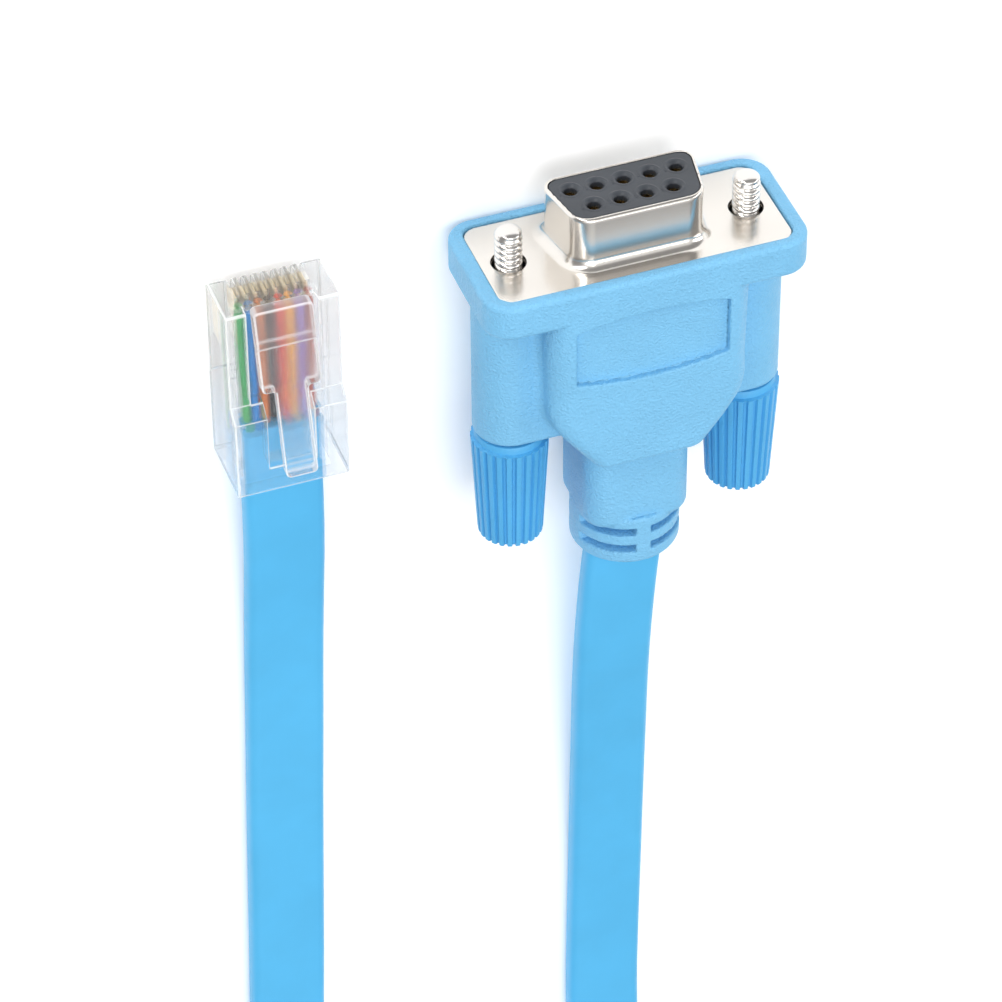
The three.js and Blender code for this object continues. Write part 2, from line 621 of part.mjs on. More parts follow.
const CABLE_HALF = CABLE_THICKNESS / 2;
const CONNECTOR_EXIT_Y = PLATE_Y + HOOD_END + SEAT_GAP;
const PLUG_JACKET_Y = PLUG_NOSE_Y + JACKET_END_Y;
const HANK_X = PLUG_X / 2;
const HANK_BASE = TIE_THICKNESS + TIE_GAP;
const LOWER_Z = HANK_BASE + CABLE_WIDTH / 2;
const UPPER_Z = LOWER_Z + CABLE_WIDTH + LAYER_GAP;
const HANK_TOP = UPPER_Z + CABLE_WIDTH / 2;
const HANK_OUTSIDE = HANK_RADIUS + CABLE_HALF;
const HANK_INSIDE = HANK_RADIUS - (TURNS_ACROSS - 1) * TURN_PITCH - CABLE_HALF;

// Where a run meets the hank: level with the turns, just clear of its round end.
const CLEAR_OF_END = Math.sqrt(HANK_OUTSIDE ** 2 - (HANK_RADIUS - CABLE_HALF - SEAT_GAP) ** 2);
const RUN_END_Y = HANK_NEAR_Y - CLEAR_OF_END;
const RIGHT_TURN_X = HANK_X - HANK_RADIUS;
const LEFT_TURN_X = HANK_X + HANK_RADIUS;

// From the hood down to the floor, along it, then up onto its edge beside the hank.
const CONNECTOR_ROUTE = [
  [0, CONNECTOR_EXIT_Y, MIDDLE_Z, 0], [0.5, 30, 7.15, 0], [0.6, 38, 6.22, 0], [0.4, 46, 5.03, 0],
  [0.05, 54, 3.82, 0], [-0.25, 62, 2.77, 0], [-0.45, 70, 1.98, 0], [-0.55, 78, 1.5, 0],
  [-0.5, 88, 1.27, 0], [-0.45, 98, CABLE_HALF, 0], [-0.62, 104, 1.28, 0.5], [-1.23, 110, 1.65, 5],
  [-2.94, 117, 2.52, 18], [-5.38, 124, 3.48, 35], [-8.06, 131, 4.18, 54], [-10.63, 138, 4.48, 71],
  [-12.46, 145, 4.7, 84], [-13.3, 151, 4.8, 89], [RIGHT_TURN_X, RUN_END_Y, LOWER_Z, 90],
];

// From the jacket's end in the plug down to the floor, along it, then up to the upper turns.
const PLUG_ROUTE = [
  [PLUG_X, PLUG_JACKET_Y, WIRE_Z, 0], [PLUG_X, 6, WIRE_Z, 0], [35.4, 12, 3.45, 0], [35.3, 19, 2.7, 0],
  [35.35, 26, 1.95, 0], [35.5, 34, 1.45, 0], [35.75, 44, CABLE_HALF, 0], [36.15, 56, CABLE_HALF, 0],
  [36.5, 68, CABLE_HALF, 0], [36.85, 80, CABLE_HALF, 0], [37.2, 90, CABLE_HALF, 0], [37.7, 98, 1.6, 3.5],
  [38.82, 105, 2.85, 13], [40.57, 112, 4.8, 27], [42.57, 119, 7, 43], [44.57, 126, 9.1, 59],
  [46.44, 133, 11, 73], [47.81, 140, 12.35, 84], [48.44, 147, 13.15, 89], [LEFT_TURN_X, RUN_END_Y, UPPER_Z, 90],
];

const connectorRun = new FlatRoute(CONNECTOR_ROUTE);
const plugRun = new FlatRoute(PLUG_ROUTE);

// Length of the hank's straight runs, from what the two runs and the round ends leave over.
const RUNS = 4 * TURNS_ACROSS - 2;
const ENDS_LENGTH = Math.PI * ((RUNS - 1) * HANK_RADIUS - (RUNS / 2) * TURN_PITCH * (TURNS_ACROSS - 1));
const TO_HANK = connectorRun.getLength() + plugRun.getLength() + 2 * CLEAR_OF_END;
const STRAIGHT = (CABLE_LENGTH - TO_HANK - ENDS_LENGTH) / RUNS;

function cableRun(route, steps) {
  const corner = CABLE_HALF * 0.8;
  const section = rectangle(CABLE_WIDTH, CABLE_THICKNESS, corner);
  return solid(new THREE.ExtrudeGeometry(section, { extrudePath: route, steps, curveSegments: 1 }));
}

// An outline with two straight sides and round ends, about the hank's middle.
function trackOutline(radius, path) {
  const far = HANK_NEAR_Y + STRAIGHT;
  path.absarc(HANK_X, far, radius, 0, Math.PI, false);
  path.absarc(HANK_X, HANK_NEAR_Y, radius, Math.PI, 2 * Math.PI, false);
  path.closePath();
  return path;
}

function hank() {
  const outline = trackOutline(HANK_OUTSIDE, new THREE.Shape());
  outline.holes.push(trackOutline(HANK_INSIDE, new THREE.Path()));
  const depth = HANK_TOP - HANK_BASE;
  const geometry = new THREE.ExtrudeGeometry(outline, { depth, bevelEnabled: false, curveSegments: 20 });
  geometry.translate(0, 0, HANK_BASE);
  return solid(geometry);
}

// A tie: a thin band round the turns on one side of the hank.
function tie(x) {
  const width = HANK_OUTSIDE - HANK_INSIDE + 2 * TIE_GAP;
  const height = HANK_TOP - HANK_BASE + 2 * TIE_GAP;
  const outline = rectangle(width + 2 * TIE_THICKNESS, height + 2 * TIE_THICKNESS, TIE_CORNER);
  outline.holes.push(new THREE.Path(rectangle(width, height).getPoints()));
  const middle = HANK_NEAR_Y + STRAIGHT / 2;
  const band = alongY(outline, middle - TIE_WIDTH / 2, middle + TIE_WIDTH / 2);
  return band.translate([x, 0, TIE_THICKNESS + TIE_GAP + (HANK_TOP - HANK_BASE) / 2]);
}

function cable() {
  const group = new THREE.Group();
  group.add(piece("cable_connector_run", cableRun(connectorRun, 36), CABLE_BLUE));
  group.add(piece("cable_plug_run", cableRun(plugRun, 40), CABLE_BLUE));
  group.add(piece("cable_hank", hank(), CABLE_BLUE));
  const middle = (HANK_OUTSIDE + HANK_INSIDE) / 2;
  group.add(piece("hank_tie_right", tie(HANK_X - middle), TIE_GREY));
  group.add(piece("hank_tie_left", tie(HANK_X + middle), TIE_GREY));
  return group;
}

const consoleCable = new THREE.Group();
consoleCable.add(connector(), plug(), cable());

export default consoleCable;
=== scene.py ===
"""Looks of a console cable: a flat light blue cable with a clear eight-way plug on one end and a
moulded nine-way socket connector, held by two thumbscrews, on the other.

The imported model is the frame. Every new piece is worked out in millimetres in the frame of its own
sub-assembly, as whole numpy arrays, and then put in its place in metres.
"""

from __future__ import annotations

import json
import logging
import math
from dataclasses import dataclass, field
from enum import Enum
from typing import Callable, ClassVar, Sequence

import bpy
import numpy as np
from mathutils import Matrix, Vector

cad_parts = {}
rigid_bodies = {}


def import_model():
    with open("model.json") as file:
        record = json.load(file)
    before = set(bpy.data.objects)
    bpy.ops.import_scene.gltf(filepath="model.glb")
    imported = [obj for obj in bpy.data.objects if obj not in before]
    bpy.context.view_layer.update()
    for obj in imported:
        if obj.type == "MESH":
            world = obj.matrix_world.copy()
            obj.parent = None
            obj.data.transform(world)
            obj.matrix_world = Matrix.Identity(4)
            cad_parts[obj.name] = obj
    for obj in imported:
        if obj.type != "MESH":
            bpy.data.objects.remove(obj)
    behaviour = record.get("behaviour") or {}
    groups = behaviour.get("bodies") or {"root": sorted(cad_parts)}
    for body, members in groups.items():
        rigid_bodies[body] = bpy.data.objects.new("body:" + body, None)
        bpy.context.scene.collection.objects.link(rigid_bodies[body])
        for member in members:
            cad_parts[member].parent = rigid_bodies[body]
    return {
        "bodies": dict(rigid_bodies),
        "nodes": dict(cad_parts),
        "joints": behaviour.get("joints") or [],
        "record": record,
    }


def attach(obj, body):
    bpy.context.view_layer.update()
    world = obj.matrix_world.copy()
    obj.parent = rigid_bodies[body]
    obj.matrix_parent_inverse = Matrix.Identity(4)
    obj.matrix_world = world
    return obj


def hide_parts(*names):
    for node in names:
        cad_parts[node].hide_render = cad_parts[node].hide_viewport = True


log = logging.getLogger("console_cable")

MM = 0.001
Array = np.ndarray
Field = Callable[[Array, Array, Array], Array]
Node = bpy.types.Node
Socket = bpy.types.NodeSocket
Tree = bpy.types.NodeTree


class Side(Enum):
    """The two thumbscrews, each by the sign of its x."""

    RIGHT = -1
    LEFT = 1

    @property
    def word(self) -> str:
        """The side as it stands in the names of nodes and bodies."""
        return self.name.lower()


class WireColour(Enum):
    """The eight wires from +X to -X: the jacket's colour in linear red, green and blue."""

    GREEN = (0.035, 0.36, 0.10)
    BLUE = (0.008, 0.22, 0.60)
    ORANGE = (0.68, 0.17, 0.022)
    BLACK = (0.012, 0.013, 0.018)
    RED = (0.78, 0.05, 0.025)
    YELLOW = (0.93, 0.40, 0.012)
    VIOLET = (0.36, 0.22, 0.60)
    BROWN = (0.45, 0.10, 0.065)

    @property
    def word(self) -> str:
        """The colour as it stands in the names of nodes and slots."""
        return self.name.lower()


# Fields: signed distances in millimetres, negative inside. Each takes arrays that broadcast.


def cornered(u: Array, v: Array, corner: float) -> Array:
    """Two distances met in a rounded outer corner.

    The corner's quarter circle is the length of what both distances, moved out by its radius, have
    above zero; away from it the larger of the two counts.

    Args:
        u: Distance to the first face.
        v: Distance to the second face.
        corner: Radius of the rounded corner.

    Returns:
        The distance to the rounded pair of faces.
    """
    a, b = u + corner, v + corner
    return np.hypot(np.maximum(a, 0), np.maximum(b, 0)) + np.minimum(np.maximum(a, b), 0) - corner


def rectangle(x: Array, z: Array, half_width: float, half_height: float, corner: float) -> Array:
    """Distance to a rounded rectangle about the axis."""
    return cornered(np.abs(x) - half_width, np.abs(z) - half_height, corner)


def between(y: Array, low: float, high: float) -> Array:
    """Distance to the slab from low to high."""
    return np.abs(y - (low + high) / 2) - (high - low) / 2


def filleted(a: Array, b: Array, radius: float) -> Array:
    """Two solids joined, with a hollow fillet where they meet.

    Within the radius of both, the distance is the radius less the length of what each distance
    falls short of it, which is a quarter circle between two faces at right angles.

    Args:
        a: Field of the first solid.
        b: Field of the second solid.
        radius: Radius of the fillet.

    Returns:
        The field of the joined solid.
    """
    short = np.hypot(np.maximum(radius - a, 0), np.maximum(radius - b, 0))
    return np.maximum(radius, np.minimum(a, b)) - short


def carved(a: Array, b: Array, edge: float) -> Array:
    """Solid a less solid b, with the new edges rounded off, as filleted() is turned inside out."""
    over = np.hypot(np.maximum(edge + a, 0), np.maximum(edge - b, 0))
    return np.minimum(-edge, np.maximum(a, -b)) + over


def socket_outline(x: Array, z: Array, width: float, height: float, corner: float) -> Array:
    """Distance to the outline of a nine-way socket.

    The two ends slant inwards by ten degrees from the wide side, which is below, so each is the
    distance to a leaning line; it meets the level sides in a rounded corner.

    Args:
        x: Across the socket.
        z: Up, from the socket's middle.
        width: Width of the wide side.
        height: Height of the outline.
        corner: Radius of the corners.

    Returns:
        The distance to the outline.
    """
    slant = math.radians(10)
    ends = (np.abs(x) - width / 2) * math.cos(slant) + (z + height / 2) * math.sin(slant)
    return cornered(ends, np.abs(z) - height / 2, corner)


# Surfaces: points in millimetres with their faces, made as whole arrays.


@dataclass
class Surface:
    """A mesh on its way to Blender: points in millimetres, faces as rows of point numbers."""

    points: Array
    faces: list[Array]
    normals: Array | None = None
    uv: Array | None = None
    # Per-point share of painted light: painted shade in the hood's screw bores, painted highlight on the
    # clear plug's rounded edges and latch ridge.
    shade: Array | None = None

    def moved(self, by: Sequence[float]) -> "Surface":
        """The same surface with every point moved."""
        return Surface(self.points + np.asarray(by), self.faces, self.normals, self.uv, self.shade)

    def mesh(self, name: str, sharp: float | None = None) -> bpy.types.Mesh:
        """Puts the surface into a Blender mesh.

        Args:
            name: Name of the mesh.
            sharp: Angle in degrees past which an edge stays sharp, or None for smooth all over.

        Returns:
            The mesh, in metres, smooth, with the surface's own normals where it has them.
        """
        mesh = bpy.data.meshes.new(name)
        mesh.from_pydata(self.points * MM, [], [face for group in self.faces for face in group.tolist()])
        mesh.polygons.foreach_set("use_smooth", np.ones(len(mesh.polygons), bool))
        if self.uv is not None:
            layer = mesh.uv_layers.new(name="lie")
            layer.uv.foreach_set("vector", self.uv.astype(np.float32).ravel())
        # The per-point share of painted light goes into a mesh attribute that the materials read, as painted
        # shade or painted highlight.
        if self.shade is not None:
            layer = mesh.attributes.new("shade", "FLOAT", "POINT")
            layer.data.foreach_set("value", self.shade.astype(np.float32))
        if self.normals is not None:
            mesh.normals_split_custom_set_from_vertices(self.normals.tolist())
        elif sharp is not None:
            mesh.set_sharp_from_angle(angle=math.radians(sharp))
        mesh.update()
        return mesh


def corners_of(shape: tuple[int, int], wrap: tuple[bool, bool]) -> Array:
    """The quads of a grid, as the (row, column) of their four corners.

    Args:
        shape: Rows and columns of the grid's points.
        wrap: Whether the last row, and the last column, joins the first.

    Returns:
        An array of quads by four corners by (row, column), not yet wrapped round.
    """
    rows, columns = (n if closed else n - 1 for n, closed in zip(shape, wrap))
    row, column = (a.ravel() for a in np.mgrid[0:rows, 0:columns])
    walk = [(0, 0), (0, 1), (1, 1), (1, 0)]
    return np.stack([np.stack([row + r, column + c], 1) for r, c in walk], 1)


def grid_surface(
    points: Array, wrap: tuple[bool, bool], cap: bool, uv_scale: tuple[float, float] = (1, 1)
) -> Surface:
    """A surface over a grid of points.

    Args:
        points: Rows by columns by three, in millimetres.
        wrap: Whether the last row, and the last column, joins the first.
        cap: Whether the first and last rows are closed, each with a fan to its own middle.
        uv_scale: What one row and one column add to the UV map.

    Returns:
        The surface, with a UV map that follows the grid.
    """
    rows, columns = points.shape[:2]
    corners = corners_of((rows, columns), wrap)
    numbers = (corners[..., 0] % rows) * columns + corners[..., 1] % columns
    uv = (corners[..., ::-1] * np.array(uv_scale[::-1])).reshape(-1, 2)
    flat, faces = points.reshape(-1, 3), [numbers]
    if cap:
        first, last = np.arange(columns), np.arange(columns) + (rows - 1) * columns
        ends = [len(flat), len(flat) + 1]
        fans = [
            np.stack([np.full(columns, ends[0]), np.roll(first, -1), first], 1),
            np.stack([np.full(columns, ends[1]), last, np.roll(last, -1)], 1),
        ]
        flat = np.concatenate([flat, points[0].mean(0)[None], points[-1].mean(0)[None]])
        faces += fans
        uv = np.concatenate([uv, np.zeros((6 * columns, 2))])
    return Surface(flat, faces, uv=uv)


def turned(profile: Array, steps: int, radius: Field | None = None) -> Surface:
    """A profile turned about the Y axis: x is r cos a, and z is r sin a, over profile rows and angles.

    Args:
        profile: Rows of (radius, y), from the axis outwards and back to it.
        steps: Angles round the axis.
        radius: Gives r from (profile radius, angle, y) where it isn't the profile's own.

    Returns:
        The closed surface, its normals pointing out where the profile runs towards +Y outside.
    """
    angle = np.linspace(0, 2 * math.pi, steps, endpoint=False)[None, :]
    base, y = profile[:, :1], profile[:, 1:] + 0 * angle
    r = base + 0 * angle if radius is None else radius(base, angle, y)
    points = np.stack([r * np.cos(angle), y, r * np.sin(angle)], 2)
    return grid_surface(points, (False, True), cap=True)


def carried(path: Array, wide: Array, thick: Array, outline: Array, closed: bool) -> Surface:
    """An outline carried along a path.

    A point is the path's point plus the outline's two coordinates along the two cross directions.

    Args:
        path: Points of the path, rows by three.
        wide: Unit cross direction of the outline's first coordinate, at each point.
        thick: Unit cross direction of the outline's second coordinate, at each point.
        outline: Points of the closed outline, columns by two.
        closed: Whether the path joins its own start.

    Returns:
        The surface, with both ends capped where the path is open.
    """
    points = path[:, None] + outline[None, :, :1] * wide[:, None] + outline[None, :, 1:] * thick[:, None]
    lengths = np.linalg.norm(np.diff(path, axis=0), axis=1)
    return grid_surface(points, (closed, True), cap=not closed, uv_scale=(float(lengths.mean()), 0.5))


def rounded_outline(width: float, height: float, corner: float, steps: int = 6, along: int = 4) -> Array:
    """A rounded rectangle as points: quarter circles of steps points, with points along each side.

    Args:
        width: Full width.
        height: Full height.
        corner: Radius of the corners.
        steps: Steps of each quarter circle.
        along: Points inside each side.

    Returns:
        The points, columns by two.
    """
    quarter = np.linspace(0, math.pi / 2, steps + 1)
    turns = np.arange(4) * math.pi / 2
    sign = np.array([[1, 1], [-1, 1], [-1, -1], [1, -1]])
    middles = sign * [width / 2 - corner, height / 2 - corner]
    angles = turns[:, None] + quarter[None]
    arcs = middles[:, None] + corner * np.stack([np.cos(angles), np.sin(angles)], 2)
    share = np.linspace(0, 1, along + 2)[1:-1][None, :, None]
    sides = arcs[:, -1:] * (1 - share) + np.roll(arcs, -1, 0)[:, :1] * share
    return np.concatenate([arcs, sides], 1).reshape(-1, 2)


def slope_of(shape: Field, points: Array, reach: float) -> Array:
    """The field's slope at points: the difference over twice the reach along each axis."""
    steps = reach * np.eye(3)
    return np.stack([shape(*(points + s).T) - shape(*(points - s).T) for s in steps], 1) / (2 * reach)


def edges_of(shape: Field, points: Array, reach: float, full: float) -> Array:
    """How far points lie on rounded edges: the field's bend there, a share from 0 to 1.

    The bend is the sum over the axes of the field's second difference, which is nothing on a flat
    face and one over the radius on a rounded edge.

    Args:
        shape: The field.
        points: Points on its skin.
        reach: Step of the difference.
        full: Bend from which the share is 1.

    Returns:
        The share at each point.
    """
    steps = reach * np.eye(3)
    here = shape(*points.T)
    bend = sum(shape(*(points + s).T) + shape(*(points - s).T) - 2 * here for s in steps) / reach**2
    return np.clip(np.abs(bend) / full, 0, 1)


def skin(shape: Field, low: Sequence[float], high: Sequence[float], cell: Sequence[float]) -> Surface:
    """The skin of a field, where it is zero.

    The field is worked out on a grid of cells. Each cell that the skin passes through gets one
    point, the mean of where the field crosses zero on the cell's edges, and each grid edge with a
    crossing gets the quad of the four cells round it. Every point then slides down the field's
    slope onto the true surface, whose slope there is the point's normal.

    Args:
        shape: The field, in millimetres.
        low: Lowest corner of the space that holds the solid.
        high: Highest corner of it.
        cell: Size of a grid cell along each axis.

    Returns:
        The surface, with its normals.
    """
    size = np.asarray(cell, float)
    start = np.asarray(low, float) - 1.5 * size
    counts = np.ceil((np.asarray(high) + 1.5 * size - start) / size).astype(int) + 1
    axes = [start[i] + size[i] * np.arange(counts[i]) for i in range(3)]
    values = np.broadcast_to(shape(*np.meshgrid(*axes, indexing="ij", sparse=True)), counts)
    inside = values < 0
    eight = np.stack(np.meshgrid([0, 1], [0, 1], [0, 1], indexing="ij"), -1).reshape(-1, 3)
    filled = sum(inside[tuple(slice(o, n - 1 + o) for o, n in zip(c, counts))].astype(np.int8) for c in eight)
    mixed = (filled > 0) & (filled < 8)
    cells = np.argwhere(mixed)
    number = np.full(mixed.shape, -1)
    number[mixed] = np.arange(len(cells))
    total, hits = np.zeros((len(cells), 3)), np.zeros(len(cells))
    unit = np.eye(3, dtype=int)
    quads = []
    for axis in range(3):
        for corner in eight[eight[:, axis] == 0]:
            at = cells + corner
            a, b = values[tuple(at.T)], values[tuple((at + unit[axis]).T)]
            crossed = (a < 0) != (b < 0)
            share = a / np.where(crossed, a - b, 1)
            total += crossed[:, None] * (corner + share[:, None] * unit[axis])
            hits += crossed
        below = np.moveaxis(np.moveaxis(inside, axis, 0)[:-1], 0, axis)
        above = np.moveaxis(np.moveaxis(inside, axis, 0)[1:], 0, axis)
        b, c = (axis + 1) % 3, (axis + 2) % 3
        edge = np.argwhere(below != above)
        across = edge[:, [b, c]]
        edge = edge[((across > 0) & (across < counts[[b, c]] - 1)).all(1)]
        round_it = [edge - unit[b] - unit[c], edge - unit[c], edge, edge - unit[b]]
        quad = np.stack([number[tuple(r.T)] for r in round_it], 1)
        quads.append(np.where(below[tuple(edge.T)][:, None], quad, quad[:, ::-1]))
    points = start + size * (cells + total / hits[:, None])
    limit = 0.5 * size.min()
    for _ in range(3):
        slope = slope_of(shape, points, 0.02)
        slide = shape(*points.T) / np.maximum((slope**2).sum(1), 0.3)
        points = points - np.clip(slide, -limit, limit)[:, None] * slope
    normals = slope_of(shape, points, 0.2 * size.min())
    normals /= np.maximum(np.linalg.norm(normals, axis=1, keepdims=True), 1e-9)
    return Surface(points, [np.concatenate(quads)], normals=normals)


# Finishes


@dataclass(frozen=True)
class Finish:
    """A finish of the object: the numbers that are the same all over, on the shader's own sockets."""

    name: str
    colour: tuple[float, float, float]
    roughness: float = 0.5
    grain_size: float = 0.35
    grain_depth: float = 0.0
    mottle: float = 0.03
    broad_spot: float = 6.0
    fine_spot: float = 1.2
    gloss_spread: float = 0.08

    def material(self) -> bpy.types.Material:
        """Builds the material: shader, colour, roughness and grain.

        Returns:
            The material, whose patterns read Object coordinates.
        """
        material = bpy.data.materials.new(self.name)
        material.use_nodes = True
        tree = material.node_tree
        shader = tree.nodes["Principled BSDF"]
        where = tree.nodes.new("ShaderNodeTexCoord").outputs["Object"]
        self.shader(shader)
        self.paint(tree, shader, where)
        self.grain(tree, shader, where)
        return material

    def shader(self, shader: Node) -> None:
        """Sets the shader's own constants."""
        shader.inputs["Specular IOR Level"].default_value = 0.5

    @staticmethod
    def noise(tree: Tree, where: Socket, size: float, detail: float = 3) -> Node:
        """A noise texture whose spots are about size millimetres across.

        Args:
            tree: Node tree to build in.
            where: Coordinates to read.
            size: Size of a spot in millimetres.
            detail: Layers of finer noise.

        Returns:
            The noise node.
        """
        node = tree.nodes.new("ShaderNodeTexNoise")
        node.inputs["Scale"].default_value = 1 / (size * MM)
        node.inputs["Detail"].default_value = detail
        tree.links.new(where, node.inputs["Vector"])
        return node

    @staticmethod
    def ranged(tree: Tree, value: Socket, low: float, high: float) -> Socket:
        """A value from 0.3 to 0.7 spread over low to high.

        Args:
            tree: Node tree to build in.
            value: The value.
            low: Result at 0.3.
            high: Result at 0.7.

        Returns:
            The spread value.
        """
        node = tree.nodes.new("ShaderNodeMapRange")
        for name, number in (("From Min", 0.3), ("From Max", 0.7), ("To Min", low), ("To Max", high)):
            node.inputs[name].default_value = number
        tree.links.new(value, node.inputs["Value"])
        return node.outputs["Result"]

    @staticmethod
    def mixed(tree: Tree, factor: Socket, a: Sequence[float], b: Sequence[float]) -> Socket:
        """Colour a where the factor is 0 and b where it is 1.

        Args:
            tree: Node tree to build in.
            factor: Share of colour b.
            a: First colour.
            b: Second colour.

        Returns:
            The mixed colour.
        """
        node = tree.nodes.new("ShaderNodeMix")
        node.data_type = "RGBA"
        node.inputs["A"].default_value = (*a, 1)
        node.inputs["B"].default_value = (*b, 1)
        tree.links.new(factor, node.inputs["Factor"])
        return node.outputs["Result"]

    def paint(self, tree: Tree, shader: Node, where: Socket) -> None:
        """Colour and roughness, each varied a little by broad spots.

        Args:
            tree: Node tree to build in.
            shader: The material's shader.
            where: Object coordinates.
        """
        broad = self.noise(tree, where, self.broad_spot).outputs[0]
        low, high = (tuple(c * (1 + s * self.mottle) for c in self.colour) for s in (-1, 1))
        colour = self.mixed(tree, self.ranged(tree, broad, 0, 1), low, high)
        tree.links.new(colour, shader.inputs["Base Color"])
        fine = self.noise(tree, where, self.fine_spot).outputs[0]
        smooth, rough = (self.roughness * (1 + s * self.gloss_spread) for s in (-1, 1))
        tree.links.new(self.ranged(tree, fine, smooth, rough), shader.inputs["Roughness"])

    def grain(self, tree: Tree, shader: Node, where: Socket) -> None:
        """A fine bump, as deep as grain_depth millimetres.

        Args:
            tree: Node tree to build in.
            shader: The material's shader.
            where: Object coordinates.
        """
        if not self.grain_depth:
            return
        bump = tree.nodes.new("ShaderNodeBump")
        bump.inputs["Distance"].default_value = self.grain_depth * MM
        bump.inputs["Strength"].default_value = 1
        tree.links.new(self.noise(tree, where, self.grain_size, 2).outputs[0], bump.inputs["Height"])
        tree.links.new(bump.outputs["Normal"], shader.inputs["Normal"])


@dataclass(frozen=True)
class MouldedVinyl(Finish):
    """Hood and knobs: satin vinyl with the mould's fine grain, and a near-black painted shade in the hood's
    deep screw bores.
    """

    bore_colour: tuple[float, float, float] = (0.01, 0.012, 0.016)

    def paint(self, tree: Tree, shader: Node, where: Socket) -> None:
        """Colour with broad spots, darkened to a painted shade where a mesh attribute marks the hood's bores.

        Args:
            tree: Node tree to build in.
            shader: The material's shader.
            where: Object coordinates.
        """
        super().paint(tree, shader, where)
        link = shader.inputs["Base Color"].links[0]
        source = link.from_socket
        tree.links.remove(link)
        # Painted shade: the bores' near-black colour is mixed in by the marking attribute, standing in for
        # the dark of the deep bores.
        shade = tree.nodes.new("ShaderNodeAttribute")
        shade.attribute_name = "shade"
        node = tree.nodes.new("ShaderNodeMix")
        node.data_type = "RGBA"
        tree.links.new(shade.outputs["Fac"], node.inputs["Factor"])
        tree.links.new(source, node.inputs["A"])
        node.inputs["B"].default_value = (*self.bore_colour, 1)
        tree.links.new(node.outputs["Result"], shader.inputs["Base Color"])


@dataclass(frozen=True)
class CableJacket(Finish):
    """The cable's smooth vinyl, with faint draw lines along it from the UV map."""

    stretched: tuple[float, float, float] = (0.6, 0.012, 1)
    line_scale: float = 3.0

    def grain(self, tree: Tree, shader: Node, where: Socket) -> None:
        """Draw lines: noise that is stretched along the cable.

        Args:
            tree: Node tree to build in.
            shader: The material's shader.
            where: Object coordinates.
        """
        lie = tree.nodes.new("ShaderNodeUVMap")
        lie.uv_map = "lie"
        stretch = tree.nodes.new("ShaderNodeMapping")
        stretch.inputs["Scale"].default_value = self.stretched
        tree.links.new(lie.outputs["UV"], stretch.inputs["Vector"])
        lines = tree.nodes.new("ShaderNodeTexNoise")
        lines.inputs["Scale"].default_value = self.line_scale
        tree.links.new(stretch.outputs["Vector"], lines.inputs["Vector"])
        bump = tree.nodes.new("ShaderNodeBump")
        bump.inputs["Distance"].default_value = self.grain_depth * MM
        tree.links.new(lines.outputs[0], bump.inputs["Height"])
        tree.links.new(bump.outputs["Normal"], shader.inputs["Normal"])


@dataclass(frozen=True)
class PlatedMetal(Finish):
    """Nickel or gold plate over pressed metal, with faint spots in its gloss."""

    def shader(self, shader: Node) -> None:
        """Metal all over."""
        shader.inputs["Metallic"].default_value = 1


@dataclass(frozen=True)
class ClearPlastic(Finish):
    """The plug's clear plastic: thin to the eye on its flat faces, with a painted highlight on its rounded
    edges, where a mesh attribute marks them, and matt where frost_until says so."""

    index: float = 1.28
    clearness: float = 0.92
    body: float = 0.5
    edge_clearness: float = 0.3
    edge_body: float = 0.9
    frost: float = 0.32
    frost_blur: float = 0.1
    frost_until: float | None = None

    def shader(self, shader: Node) -> None:
        """The plastic's own index, the same all over."""
        shader.inputs["IOR"].default_value = self.index

    def paint(self, tree: Tree, shader: Node, where: Socket) -> None:
        """Clear, with a painted highlight on the rounded edges and a rougher part in front of y =
        frost_until.

        Args:
            tree: Node tree to build in.
            shader: The material's shader.
            where: Object coordinates.
        """
        super().paint(tree, shader, where)
        # Painted highlight: where the marking attribute is high, alpha rises and transmission falls, so
        # rounded edges show as white lines.
        shade = tree.nodes.new("ShaderNodeAttribute")
        shade.attribute_name = "shade"
        spans = {
            "Alpha": (self.body, self.edge_body),
            "Transmission Weight": (self.clearness, self.edge_clearness),
        }
        for socket, (flat, edge) in spans.items():
            span = tree.nodes.new("ShaderNodeMapRange")
            span.inputs["To Min"].default_value, span.inputs["To Max"].default_value = flat, edge
            tree.links.new(shade.outputs["Fac"], span.inputs["Value"])
            tree.links.new(span.outputs["Result"], shader.inputs[socket])
        if self.frost_until is None:
            return
        smooth = shader.inputs["Roughness"].links[0].from_socket
        split = tree.nodes.new("ShaderNodeSeparateXYZ")
        tree.links.new(where, split.inputs["Vector"])
        edge = tree.nodes.new("ShaderNodeMapRange")
        edge.inputs["From Min"].default_value = (self.frost_until - self.frost_blur) * MM
        edge.inputs["From Max"].default_value = (self.frost_until + self.frost_blur) * MM
        edge.inputs["To Min"].default_value = self.frost
        edge.inputs["To Max"].default_value = 0
        tree.links.new(split.outputs["Y"], edge.inputs["Value"])
        add = tree.nodes.new("ShaderNodeMath")
        add.operation = "ADD"
        tree.links.new(smooth, add.inputs[0])
        tree.links.new(edge.outputs["Result"], add.inputs[1])
        tree.links.new(add.outputs[0], shader.inputs["Roughness"])


